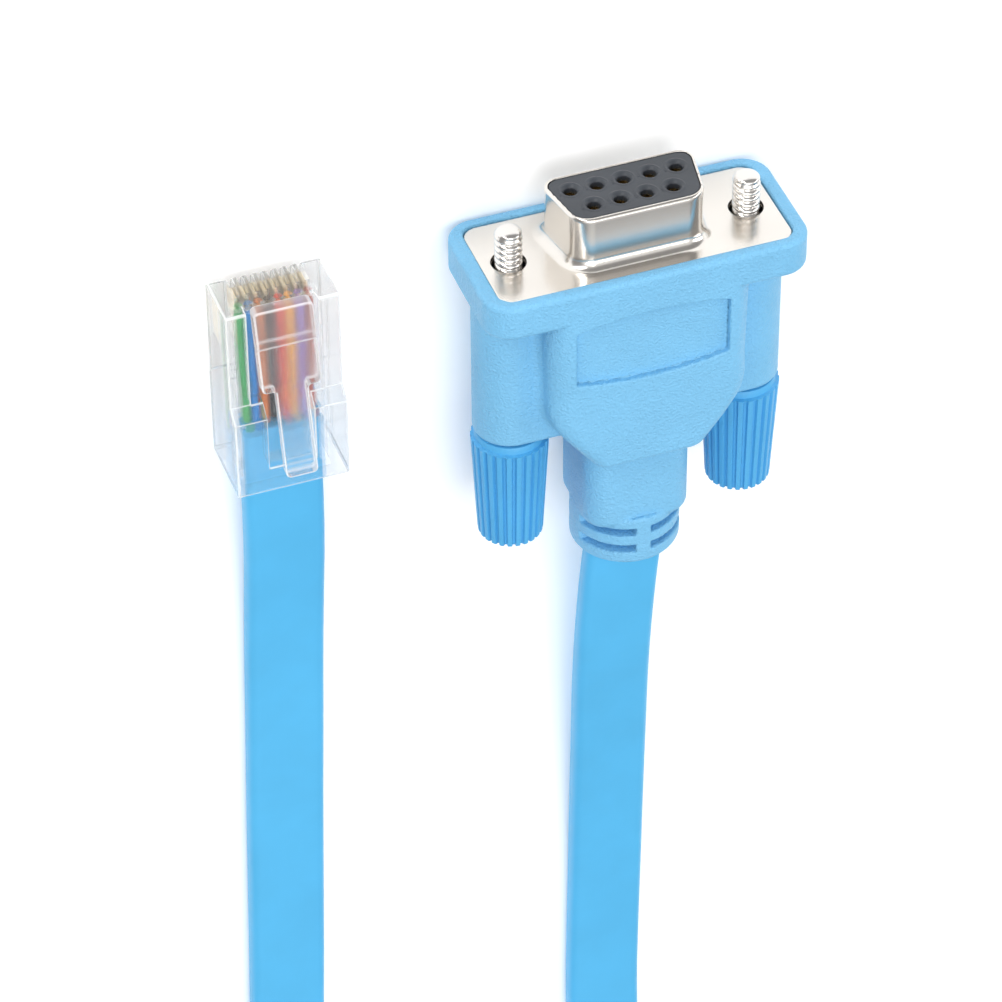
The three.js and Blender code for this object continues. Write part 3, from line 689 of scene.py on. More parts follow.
@dataclass
class Finishes:
    """Every finish of the object, with its material made once."""

    hood: Finish = MouldedVinyl(
        "hood_vinyl", (0.20, 0.53, 0.82), roughness=0.46, grain_size=0.26, grain_depth=0.2
    )
    knob: Finish = MouldedVinyl(
        "knob_vinyl", (0.085, 0.42, 0.77), roughness=0.42, grain_size=0.24, grain_depth=0.06
    )
    jacket: Finish = CableJacket("cable_vinyl", (0.085, 0.47, 0.82), roughness=0.42, grain_depth=0.02)
    plate: Finish = PlatedMetal(
        "nickel_plate", (0.78, 0.745, 0.70), roughness=0.2, grain_size=0.15, grain_depth=0.001
    )
    steel: Finish = PlatedMetal(
        "screw_steel", (0.80, 0.775, 0.745), roughness=0.2, grain_size=0.4, grain_depth=0.004
    )
    gold: Finish = PlatedMetal(
        "contact_gold", (0.86, 0.60, 0.24), roughness=0.28, grain_size=0.2, grain_depth=0.002
    )
    blade: Finish = PlatedMetal(
        "blade_gold", (0.95, 0.80, 0.52), roughness=0.4, grain_size=0.2, grain_depth=0.002
    )
    insulator: Finish = Finish(
        "insulator_plastic", (0.045, 0.052, 0.064),
        roughness=0.42, grain_size=0.2, grain_depth=0.01, mottle=0.1,
    )
    clear: Finish = ClearPlastic("clear_plastic", (0.98, 0.99, 1.0), roughness=0.02, mottle=0.0)
    latch: Finish = ClearPlastic(
        "latch_plastic", (0.98, 0.99, 1.0), roughness=0.02, mottle=0.0, frost_until=-12.9
    )
    tie: Finish = Finish(
        "tie_strap", (0.03, 0.033, 0.038), roughness=0.75, grain_size=0.25, grain_depth=0.12, mottle=0.15
    )
    made: dict[str, bpy.types.Material] = field(default_factory=dict)

    def of(self, finish: Finish) -> bpy.types.Material:
        """The material of a finish.

        Args:
            finish: The finish.

        Returns:
            Its material, made on first use.
        """
        if finish.name not in self.made:
            self.made[finish.name] = finish.material()
        return self.made[finish.name]

    def wire(self, colour: WireColour) -> Finish:
        """The finish of one wire's insulation.

        Args:
            colour: The wire's colour.

        Returns:
            Its finish.
        """
        return Finish(
            f"wire_{colour.word}", colour.value,
            roughness=0.35, grain_size=0.5, grain_depth=0.004, mottle=0.06,
        )


@dataclass
class Workbench:
    """The loaded frame, and how a surface becomes a piece on it."""

    frame: dict
    finishes: Finishes = field(default_factory=Finishes)

    def add(
        self,
        name: str,
        surface: Surface,
        body: str,
        slot: str,
        finish: Finish,
        nodes: Sequence[str] = (),
        sharp: float | None = None,
    ) -> bpy.types.Object:
        """Makes a piece, lets it ride on its body, and has it stand for the CAD nodes it replaces.

        Args:
            name: Name of the piece.
            surface: Its surface in the part's frame, in millimetres.
            body: The CAD body that it rides on.
            slot: The record's material slot; not used.
            finish: Its finish.
            nodes: The CAD nodes that it replaces.
            sharp: Angle past which an edge stays sharp, for a surface without its own normals.

        Returns:
            The new object.
        """
        piece = bpy.data.objects.new(name, surface.mesh(name, sharp))
        bpy.context.scene.collection.objects.link(piece)
        piece.data.materials.append(self.finishes.of(finish))
        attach(piece, body)
        if nodes:
            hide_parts(*nodes)
        points, faces = len(piece.data.vertices), len(piece.data.polygons)
        log.info("%s: %d points, %d faces, on %s", name, points, faces, body)
        return piece

    def dress(self, node: str, finish: Finish) -> bpy.types.Object:
        """Gives a CAD node that stays as it is a better material.

        Args:
            node: The CAD node's name.
            finish: Its new finish.

        Returns:
            The node's object.
        """
        piece = self.frame["nodes"][node]
        for slot in piece.material_slots:
            slot.material = self.finishes.of(finish)
        log.info("%s: kept from the frame, in %s", node, finish.name)
        return piece


# Cable


@dataclass
class Lie:
    """How the cable lies: points, and at each the direction of the cable's wide side."""

    points: Array
    wide: Array

    def backwards(self) -> "Lie":
        """The same stretch from its other end."""
        return Lie(self.points[::-1], self.wide[::-1])

    @staticmethod
    def join(parts: Sequence["Lie"]) -> "Lie":
        """Stretches end to end, with each shared end kept once.

        Args:
            parts: Stretches in order, each starting where the last ends.

        Returns:
            The joined lie.
        """
        points = [parts[0].points] + [p.points[1:] for p in parts[1:]]
        wide = [parts[0].wide] + [p.wide[1:] for p in parts[1:]]
        return Lie(np.concatenate(points), np.concatenate(wide))


@dataclass
class FlatCable:
    """The flat cable: a run from each connector, and a tied hank of the rest, on its edge."""

    width: float = 8.4
    thickness: float = 2.5
    corner: float = 0.95
    length: float = 1500.0
    step: float = 1.6
    plug_x: float = 35.5
    wire_z: float = 3.75
    hank_radius: float = 31.0
    hank_near_y: float = 168.0
    pitch: float = 2.9
    lower_z: float = 4.8
    upper_z: float = 13.4
    run_end_y: float = 154.856
    tie_thickness: float = 0.5
    tie_gap: float = 0.1
    tie_width: float = 6.0
    hidden_start: float = 2.2
    straight_length: float = 39.56

    CONNECTOR_ROUTE: ClassVar = [
        (0, 22.65, 7.5, 0), (0.5, 30, 7.15, 0), (0.6, 38, 6.22, 0), (0.4, 46, 5.03, 0),
        (0.05, 54, 3.82, 0), (-0.25, 62, 2.77, 0), (-0.45, 70, 1.98, 0), (-0.55, 78, 1.5, 0),
        (-0.5, 88, 1.27, 0), (-0.45, 98, 1.25, 0), (-0.62, 104, 1.28, 0.5), (-1.23, 110, 1.65, 5),
        (-2.94, 117, 2.52, 18), (-5.38, 124, 3.48, 35), (-8.06, 131, 4.18, 54), (-10.63, 138, 4.48, 71),
        (-12.46, 145, 4.7, 84), (-13.3, 151, 4.8, 89), (-13.25, 154.856, 4.8, 90),
    ]
    PLUG_ROUTE: ClassVar = [
        (35.5, -0.3, 3.75, 0), (35.5, 6, 3.75, 0), (35.4, 12, 3.45, 0), (35.3, 19, 2.7, 0),
        (35.35, 26, 1.95, 0), (35.5, 34, 1.45, 0), (35.75, 44, 1.25, 0), (36.15, 56, 1.25, 0),
        (36.5, 68, 1.25, 0), (36.85, 80, 1.25, 0), (37.2, 90, 1.25, 0), (37.7, 98, 1.6, 3.5),
        (38.82, 105, 2.85, 13), (40.57, 112, 4.8, 27), (42.57, 119, 7, 43), (44.57, 126, 9.1, 59),
        (46.44, 133, 11, 73), (47.81, 140, 12.35, 84), (48.44, 147, 13.15, 89), (48.75, 154.856, 13.4, 90),
    ]

    @property
    def hank_x(self) -> float:
        """The hank's middle, halfway between the connectors."""
        return self.plug_x / 2

    def run(self, route: Sequence[tuple[float, float, float, float]]) -> Lie:
        """A run through stations of x, y, z and tilt, on one smooth curve.

        The curve is the centripetal one through its points: between two stations each coordinate
        is a cubic whose end slopes come from the neighbours, with knots spaced by the square root
        of the distance. The wide side is level across the way, turned about the way by the tilt.

        Args:
            route: Stations in millimetres and degrees.

        Returns:
            The run, with points a step apart.
        """
        stations = np.array(route, float)
        ends = [2 * stations[0] - stations[1], 2 * stations[-1] - stations[-2]]
        p = np.concatenate([ends[:1], stations, ends[1:]])
        gap = np.linalg.norm(np.diff(p[:, :3], axis=0), axis=1) ** 0.5
        a, b, c = gap[:-2, None], gap[1:-1, None], gap[2:, None]
        p0, p1, p2, p3 = p[:-3], p[1:-2], p[2:-1], p[3:]
        out = ((p1 - p0) / a - (p2 - p0) / (a + b) + (p2 - p1) / b) * b
        into = ((p2 - p1) / b - (p3 - p1) / (b + c) + (p3 - p2) / c) * b
        t = np.linspace(0, 1, 60, endpoint=False)[:, None, None]
        cubic = (2 * t**3 - 3 * t**2 + 1) * p1 + (t**3 - 2 * t**2 + t) * out
        cubic = cubic + (3 * t**2 - 2 * t**3) * p2 + (t**3 - t**2) * into
        dense = np.concatenate([cubic.transpose(1, 0, 2).reshape(-1, 4), stations[-1:]])
        far = np.concatenate([[0], np.linalg.norm(np.diff(dense[:, :3], axis=0), axis=1).cumsum()])
        even = np.linspace(0, far[-1], max(8, round(far[-1] / self.step)) + 1)
        at = np.stack([np.interp(even, far, dense[:, i]) for i in range(4)], 1)
        way = np.gradient(at[:, :3], axis=0)
        way /= np.linalg.norm(way, axis=1, keepdims=True)
        level = np.cross([0.0, 0.0, 1.0], way)
        level /= np.linalg.norm(level, axis=1, keepdims=True)
        tilt = np.radians(at[:, 3:])
        return Lie(at[:, :3], level * np.cos(tilt) + np.cross(way, level) * np.sin(tilt))

    def bend(self, out_side: int, insets: tuple[float, float], y: float, z: tuple[float, float]) -> Lie:
        """A half circle at one end of the hank, from one side's turn to the other's.

        Args:
            out_side: -1 where it starts on the right side, 1 on the left.
            insets: How many pitches inside the outermost turn it starts and ends.
            y: Middle of the round end.
            z: Height at its start and at its end, reached by an even S curve.

        Returns:
            The half circle.
        """
        start = self.hank_x + out_side * (self.hank_radius - insets[0] * self.pitch)
        end = self.hank_x - out_side * (self.hank_radius - insets[1] * self.pitch)
        middle, radius = (start + end) / 2, abs(end - start) / 2
        share = np.linspace(0, 1, round(math.pi * radius / self.step) + 1)
        away = 1 if y > self.hank_near_y else -1
        height = z[0] + (z[1] - z[0]) * share**2 * (3 - 2 * share)
        x = middle + out_side * radius * np.cos(math.pi * share)
        points = np.stack([x, y + away * radius * np.sin(math.pi * share), height], 1)
        return Lie(points, np.tile([0.0, 0.0, 1.0], (len(points), 1)))

    def straight(self, start: Sequence[float], end: Sequence[float]) -> Lie:
        """A stretch along Y whose sideways shift, if any, follows an even S curve.

        Args:
            start: First point.
            end: Last point.

        Returns:
            The stretch, with its wide side upright.
        """
        start, end = np.asarray(start, float), np.asarray(end, float)
        share = np.linspace(0, 1, max(2, round(abs(end[1] - start[1]) / self.step)) + 1)
        points = start + (end - start) * (share**2 * (3 - 2 * share))[:, None]
        points[:, 1] = start[1] + (end[1] - start[1]) * share
        return Lie(points, np.tile([0.0, 0.0, 1.0], (len(points), 1)))

    def hank(self, length: float) -> Lie:
        """The hank: ten straight runs in two layers, with half circles between them.

        It starts on the right in the lower layer, at the outermost turn, and each half circle moves
        half a pitch inwards. The fifth climbs to the upper layer, where the turns move outwards
        again, and the last run leaves on the left.

        Args:
            length: Length of cable that it takes up.

        Returns:
            The hank, from where the connector's run ends to where the plug's starts.
        """
        sides = [-1, 1] * 5
        inset = [0, 0.5, 1, 1.5, 2, 2, 1.5, 1, 0.5, 0]
        heights = [self.lower_z] * 5 + [self.upper_z] * 5
        lead = self.hank_near_y - self.run_end_y
        radii = [self.hank_radius - (a + b) / 2 * self.pitch for a, b in zip(inset, inset[1:])]
        radii[4] -= self.pitch / 4
        run = (length - 2 * lead - math.pi * sum(radii)) / len(sides)
        far_y = self.hank_near_y + run
        x = [self.hank_x + s * (self.hank_radius - i * self.pitch) for s, i in zip(sides, inset)]
        parts = [self.straight((x[0], self.run_end_y, self.lower_z), (x[0], self.hank_near_y, self.lower_z))]
        for i, side in enumerate(sides):
            going_far = side < 0
            ends = (self.hank_near_y, far_y) if going_far else (far_y, self.hank_near_y)
            tight = -side * self.pitch / 2 if i == 5 else 0
            parts.append(self.straight((x[i] + tight, ends[0], heights[i]), (x[i], ends[1], heights[i])))
            if i < 9:
                last = inset[i + 1] + (0.5 if i == 4 else 0)
                parts.append(self.bend(side, (inset[i], last), ends[1], (heights[i], heights[i + 1])))
        leave = [(x[9], y, self.upper_z) for y in (self.hank_near_y, self.run_end_y)]
        parts.append(self.straight(*leave))
        return Lie.join(parts)

    def lie(self) -> Lie:
        """The whole cable, from the connector's run through the hank to the jacket's end.

        Returns:
            The lie of all of its length.
        """
        runs = [self.run(self.CONNECTOR_ROUTE), self.run(self.PLUG_ROUTE)]
        used = sum(float(np.linalg.norm(np.diff(r.points, axis=0), axis=1).sum()) for r in runs)
        return Lie.join([runs[0], self.hank(self.length - used), runs[1].backwards()])

    def jacket(self, lie: Lie) -> Surface:
        """The jacket: a flat rounded section carried along the lie, its wide side as the lie says.

        Args:
            lie: How the cable lies.

        Returns:
            The jacket's surface.
        """
        way = np.gradient(lie.points, axis=0)
        way /= np.linalg.norm(way, axis=1, keepdims=True)
        wide = lie.wide - (lie.wide * way).sum(1, keepdims=True) * way
        wide /= np.linalg.norm(wide, axis=1, keepdims=True)
        outline = rounded_outline(self.width, self.thickness, self.corner, 5, 4)
        return carried(lie.points, wide, np.cross(way, wide), outline, closed=False)

    def tie(self, side: Side) -> Surface:
        """A tie: a thin rounded section carried round the turns on one side of the hank.

        Args:
            side: The side of the hank that it holds.

        Returns:
            The tie's surface.
        """
        inner = self.hank_radius - 2 * self.pitch - self.thickness / 2
        outer = self.hank_radius + self.thickness / 2
        wide, high = outer - inner, self.upper_z - self.lower_z + self.width
        grow = 2 * self.tie_gap + self.tie_thickness
        path = rounded_outline(wide + grow, high + grow, 0.55, 6, 6)
        ahead = np.roll(path, -1, 0) - np.roll(path, 1, 0)
        ahead /= np.linalg.norm(ahead, axis=1, keepdims=True)
        flat = np.zeros((len(path), 1))
        points = np.hstack([path[:, :1], flat, path[:, 1:]])
        out = np.hstack([ahead[:, 1:], flat, -ahead[:, :1]])
        along = np.tile([0.0, 1.0, 0.0], (len(path), 1))
        section = rounded_outline(self.tie_width, self.tie_thickness, 0.2, 4, 6)
        x = self.hank_x + side.value * (inner + outer) / 2
        y = self.hank_near_y + self.straight_length / 2
        z = (self.lower_z + self.upper_z) / 2
        return carried(points, along, out, section, closed=True).moved((x, y, z))

    def build(self, bench: Workbench, plug_pieces: Sequence[bpy.types.Object]) -> None:
        """Args:
            bench: Where pieces are made.
            plug_pieces: The pieces on the cable's far end; not used.
        """
        finishes = bench.finishes
        lie = self.lie()
        start = lie.points[0] - [0, self.hidden_start, 0]
        whole = Lie(np.concatenate([start[None], lie.points]), np.concatenate([lie.wide[:1], lie.wide]))
        nodes = ("cable_connector_run", "cable_plug_run", "cable_hank")
        jacket = self.jacket(whole)
        cable = bench.add("flat_cable", jacket, "cable", "cable_jacket", finishes.jacket, nodes, sharp=60)
        for side in Side:
            name, node = f"strap_{side.word}", f"hank_tie_{side.word}"
            bench.add(name, self.tie(side), "cable", "tie", finishes.tie, (node,), sharp=40)


# Nine-way connector, in its own frame: y = 0 is the plate's front face, z = 0 its middle


@dataclass
class MetalFace:
    """The pressed front shell: a plate with the socket standing out of it on a wide hollow curve."""

    plate_width: float = 30.8
    plate_height: float = 12.5
    plate_corner: float = 1.6
    plate_thickness: float = 0.5
    socket_width: float = 16.3
    socket_height: float = 7.9
    socket_corner: float = 1.9
    reach: float = 6.0
    wall: float = 0.45
    lip: float = 0.42
    flare: float = 1.15
    hollow: float = 0.09
    jack_x: float = 12.5
    hole_radius: float = 1.75
    edge: float = 0.1
    mouth_edge: float = 0.12
    behind: float = 5.0
    cell: tuple[float, float, float] = (0.17, 0.13, 0.15)

    def inside(self, x: Array, z: Array, clearance: float) -> Array:
        """Distance to the socket's inner outline, less a clearance.

        Args:
            x: Across.
            z: Up.
            clearance: Gap left inside the wall.

        Returns:
            The distance.
        """
        less = 2 * (self.wall + clearance)
        width, height = self.socket_width - less, self.socket_height - less
        return socket_outline(x, z, width, height, self.socket_corner - self.wall)

    def shape(self, x: Array, y: Array, z: Array) -> Array:
        """Plate and socket joined by a fillet, cut off flat behind, then bored for socket and screws.

        The drawn wall hollows a little between its rim and its foot, as a parabola of y.

        Args:
            x: Across.
            y: Towards the cable.
            z: Up.

        Returns:
            The field.
        """
        outline = rectangle(x, z, self.plate_width / 2, self.plate_height / 2, self.plate_corner)
        plate = cornered(outline, between(y, 0, self.behind), self.edge)
        outline = socket_outline(x, z, self.socket_width, self.socket_height, self.socket_corner)
        hollow = self.hollow * np.clip(1 - ((y + self.reach / 2) / (self.reach / 2)) ** 2, 0, 1)
        can = cornered(outline + hollow, between(y, -self.reach, self.behind), self.lip)
        whole = np.maximum(filleted(plate, can, self.flare), y - self.plate_thickness)
        whole = carved(whole, self.inside(x, z, 0), self.mouth_edge)
        return carved(whole, np.hypot(np.abs(x) - self.jack_x, z) - self.hole_radius, self.edge)

    def build(self, bench: Workbench, place: Array) -> None:
        """Builds the front shell, and dresses the hidden rear shell.

        Args:
            bench: Where pieces are made.
            place: The connector's origin in the part's frame.
        """
        half_width, half_height = self.plate_width / 2, self.plate_height / 2
        low, high = (-half_width, -self.reach, -half_height), (half_width, self.plate_thickness, half_height)
        surface = skin(self.shape, low, high, self.cell)
        finish = bench.finishes.plate
        bench.add("metal_face", surface.moved(place), "cable", "plated_steel", finish, ("front_shell",))
        bench.dress("rear_shell", finish)


@dataclass
class Insulator:
    """The dark insulator: nine entries, each with a chamfer and a faint raised rim, and its contacts."""

    face: MetalFace
    pitch: float = 2.77
    row_pitch: float = 2.84
    front: float = -5.9
    back: float = 5.2
    entry_radius: float = 0.65
    chamfer: float = 0.25
    entry_depth: float = 0.9
    cavity_radius: float = 0.9
    rim_radius: float = 1.08
    rim_height: float = 0.05
    clearance: float = 0.05
    face_edge: float = 0.1
    entry_edge: float = 0.04
    digit_size: float = 0.85
    digit_height: float = 0.03
    digit_place: tuple[float, float] = (0.62 / 1.45, 0.3)
    cell: tuple[float, float, float] = (0.13, 0.14, 0.13)

    def places(self) -> Array:
        """The x and z of each contact: five below, then four above, from -X.

        Returns:
            Nine rows of x and z.
        """
        wide, narrow = (np.arange(5) - 2) * self.pitch, (np.arange(4) - 1.5) * self.pitch
        heights = np.repeat([-self.row_pitch / 2, self.row_pitch / 2], [5, 4])
        return np.stack([np.concatenate([wide, narrow]), heights], 1)

    def shape(self, x: Array, y: Array, z: Array) -> Array:
        """The block inside the socket, less nine holes.

        The distance to a hole is that to its nearest axis less the hole's radius, which is wider by
        the chamfer at the face and wider again behind the entry. The rim lifts the face by a bell
        curve round each hole.

        Args:
            x: Across.
            y: Back from the plate's face.
            z: Up.

        Returns:
            The field.
        """
        away = np.minimum.reduce([np.hypot(x - cx, z - cz) for cx, cz in self.places()])
        rim = self.rim_height * np.exp(-(((away - self.rim_radius) / 0.1) ** 2))
        front, back = self.front - rim - y, y - self.back
        block = cornered(self.face.inside(x, z, self.clearance), np.maximum(front, back), self.face_edge)
        mouth = np.maximum(self.front + self.chamfer - y, 0)
        behind = np.where(y > self.front + self.entry_depth, self.cavity_radius - self.entry_radius, 0)
        return carved(block, away - self.entry_radius - np.maximum(mouth, behind), self.entry_edge)

    def digit(self, number: int, x: float, z: float) -> Surface:
        """A small raised contact number on the face, read with the socket's wide side up.

        Args:
            number: The contact's number.
            x: Middle of the digit.
            z: Middle of the digit.

        Returns:
            The digit's surface in the connector's frame.
        """
        curve = bpy.data.curves.new("digit", "FONT")
        curve.body, curve.size, curve.extrude = str(number), self.digit_size, self.digit_height
        curve.align_x, curve.align_y, curve.resolution_u = "CENTER", "CENTER", 3
        writing = bpy.data.objects.new("digit", curve)
        bpy.context.scene.collection.objects.link(writing)
        bpy.context.view_layer.update()
        mesh = bpy.data.meshes.new_from_object(writing.evaluated_get(bpy.context.evaluated_depsgraph_get()))
        flat = np.zeros(len(mesh.vertices) * 3)
        mesh.vertices.foreach_get("co", flat)
        flat = flat.reshape(-1, 3)
        faces = [np.array([list(p.vertices)]) for p in mesh.polygons]
        bpy.data.objects.remove(writing)
        bpy.data.curves.remove(curve)
        bpy.data.meshes.remove(mesh)
        return Surface(np.stack([x - flat[:, 0], self.front - flat[:, 2], z - flat[:, 1]], 1), faces)

    def build(self, bench: Workbench, place: Array) -> None:
        """Builds the insulator and its numbers, and dresses the nine contacts.

        Args:
            bench: Where pieces are made.
            place: The connector's origin in the part's frame.
        """
        half = self.face.socket_width / 2
        low, high = (-half, self.front - self.rim_height, -4), (half, self.back, 4)
        surface = skin(self.shape, low, high, self.cell).moved(place)
        finish, slot = bench.finishes.insulator, "insulator_plastic"
        bench.add("insulator_block", surface, "cable", slot, finish, ("insulator",))
        across, up = self.digit_place
        for i, (x, z) in enumerate(self.places()):
            number = 5 - i if i < 5 else 14 - i
            surface = self.digit(number, x + across * self.pitch, z + up).moved(place)
            bench.add(f"contact_number_{number}", surface, "cable", slot, finish, sharp=30)
            bench.dress(f"socket_contact_{i + 1}", bench.finishes.gold)


@dataclass
class Hood:
    """The moulded hood: flange, narrowing body, two screw sleeves, neck and grooved relief in one."""

    face: MetalFace
    width: float = 34.0
    height: float = 15.0
    rim: float = 0.25
    flange_depth: float = 3.8
    flange_corner: float = 3.0
    flange_round: float = 0.55
    body_width: float = 21.6
    shoulder_width: float = 20.8
    shoulder: float = 17.0
    body_end: float = 23.2
    body_corner: float = 2.4
    sleeve_radius: float = 3.8
    sleeve_end: float = 20.8
    neck_width: float = 11.3
    neck_height: float = 10.2
    neck_corner: float = 2.6
    neck_round: float = 1.2
    neck_end: float = 34.1
    relief_radius: float = 5.7
    relief_end: float = 38.7
    groove_radius: float = 4.3
    groove: float = 0.95
    groove_pitch: float = 2.2
    rib: float = 1.6
    side_rib: float = 3.0
    bore_radius: float = 1.7
    pocket_depth: float = 8.4
    panel_width: float = 16.1
    panel_start: float = 4.95
    panel_length: float = 6.5
    panel_bulge: float = 0.85
    panel_depth: float = 0.7
    panel_corner: float = 0.12
    panel_edge: float = 0.22
    side_turn: float = 1.2
    corner_loss: float = 1.2
    corner_from: float = 13.0
    corner_over: float = 7.0
    end_round: float = 0.5
    sleeve_round: float = 0.35
    relief_round: float = 0.4
    groove_edge: float = 0.14
    sleeve_fillet: float = 0.9
    neck_fillet: float = 0.8
    flange_fillet: float = 0.3
    cut_edge: float = 0.1
    seat_gap: float = 0.05
    seat_depth: float = 1.1
    pocket_over: float = 2.7
    cable_way: tuple[float, float, float] = (4.24, 1.29, 0.95)
    cable_way_length: float = 3.0
    shade_reach: float = 0.25
    cell: tuple[float, float, float] = (0.27, 0.21, 0.26)

    def body(self, x: Array, y: Array, z: Array) -> Array:
        """The body, which keeps the flange's height and narrows to the neck past its shoulder.

        Its side is the rounded corner of two lines, one almost along the body and one slanting to
        the neck; it meets the broad faces, and those the end, in rounded edges.

        Args:
            x: Across.
            y: Towards the cable.
            z: Up.

        Returns:
            The field.
        """
        x = np.abs(x)
        lean = (self.body_width - self.shoulder_width) / 2 / self.shoulder
        first = x - self.body_width / 2 + lean * y
        run = np.array([self.body_end - self.shoulder, (self.shoulder_width - self.neck_width) / 2])
        normal = run / np.linalg.norm(run)
        second = (x - self.shoulder_width / 2) * normal[0] + (y - self.shoulder) * normal[1]
        turn = self.side_turn
        side = np.maximum(first, second) + 0.25 * np.maximum(turn - np.abs(first - second), 0) ** 2 / turn
        lost = self.corner_loss * np.clip((y - self.corner_from) / self.corner_over, 0, 1)
        broad = cornered(side, np.abs(z) - self.height / 2, self.body_corner - lost)
        return cornered(broad, between(y, self.flange_depth / 3, self.body_end), self.end_round)

    def relief(self, x: Array, y: Array, z: Array) -> Array:
        """The strain relief: a barrel with two grooves, which ribs cross on its four sides.

        Args:
            x: Across.
            y: Towards the cable.
            z: Up.

        Returns:
            The field.
        """
        away = np.hypot(x, z)
        along = between(y, self.neck_end - 1.25, self.relief_end)
        barrel = cornered(away - self.relief_radius, along, self.relief_round)
        middle = self.neck_end + self.groove / 2
        near = np.minimum(np.abs(y - middle), np.abs(y - middle - self.groove_pitch)) - self.groove / 2
        groove = np.maximum(near, self.groove_radius - away)
        groove = np.maximum(groove, np.maximum(self.rib / 2 - np.abs(x), self.side_rib / 2 - np.abs(z)))
        return carved(barrel, groove, self.groove_edge)

    def panel(self, x: Array, y: Array, z: Array) -> Array:
        """The label recess: its long edges bow outwards as a parabola over its width.

        Args:
            x: Across.
            y: Towards the cable.
            z: Up.

        Returns:
            The field.
        """
        half = self.panel_width / 2
        bow = self.panel_bulge * (1 - (x / half) ** 2)
        lengthways = np.maximum(self.panel_start - bow - y, y - self.panel_start - self.panel_length - bow)
        plan = cornered(np.abs(x) - half, lengthways, self.panel_corner)
        return np.maximum(plan, self.height / 2 - self.panel_depth - z)

    def shape(self, x: Array, y: Array, z: Array) -> Array:
        """The hood: its forms joined with fillets, less pocket, bores, panel and the cable's way.

        Args:
            x: Across.
            y: Towards the cable.
            z: Up.

        Returns:
            The field.
        """
        face = self.face
        outline = rectangle(x, z, self.width / 2, self.height / 2, self.flange_corner)
        flange = cornered(outline, between(y, -self.rim, self.flange_depth), self.flange_round)
        sleeve = self.sleeve_radius
        stadium = rectangle(x, z, face.jack_x + sleeve, sleeve, sleeve - 0.02)
        sleeves = cornered(stadium, between(y, self.flange_depth / 2, self.sleeve_end), self.sleeve_round)
        block = rectangle(x, z, self.neck_width / 2, self.neck_height / 2, self.neck_corner)
        neck = cornered(block, between(y, self.body_end - 4, self.neck_end), self.neck_round)
        whole = filleted(self.body(x, y, z), sleeves, self.sleeve_fillet)
        whole = filleted(whole, neck, self.neck_fillet)
        whole = np.minimum(whole, filleted(flange, sleeves, self.flange_fillet))
        whole = np.minimum(whole, self.relief(x, y, z))
        half_width, half_height = face.plate_width / 2 + self.seat_gap, face.plate_height / 2 + self.seat_gap
        seat = rectangle(x, z, half_width, half_height, face.plate_corner)
        width, height = face.socket_width + self.pocket_over, face.socket_height + self.pocket_over
        room = socket_outline(x, z, width, height, face.socket_corner)
        pocket = np.minimum(np.maximum(seat, y - self.seat_depth), np.maximum(room, y - self.pocket_depth))
        bore = np.hypot(np.abs(x) - face.jack_x, z) - self.bore_radius
        bores = np.maximum(bore, y - self.sleeve_end - 1)
        cable = np.maximum(rectangle(x, z, *self.cable_way), self.relief_end - self.cable_way_length - y)
        whole = carved(whole, np.minimum(np.minimum(pocket, bores), cable), self.cut_edge)
        return carved(whole, self.panel(x, y, z), self.panel_edge)

    def build(self, bench: Workbench, place: Array) -> None:
        """Builds the hood, with painted shade marked in the bores round the screws.

        Args:
            bench: Where pieces are made.
            place: The connector's origin in the part's frame.
        """
        low = (-self.width / 2, -self.rim, -self.height / 2)
        high = (self.width / 2, self.relief_end, self.height / 2)
        surface = skin(self.shape, low, high, self.cell)
        x, y, z = surface.points.T
        # Painted shade: points within a little of each screw bore, between the seat and the sleeve's end, are
        # marked for near-black colour.
        inside = np.hypot(np.abs(x) - self.face.jack_x, z) < self.bore_radius + self.shade_reach
        surface.shade = (inside & (y > 0.3) & (y < self.sleeve_end - 1)).astype(float)
        surface = surface.moved(place)
        bench.add("moulded_hood", surface, "cable", "hood_plastic", bench.finishes.hood, ("hood",))


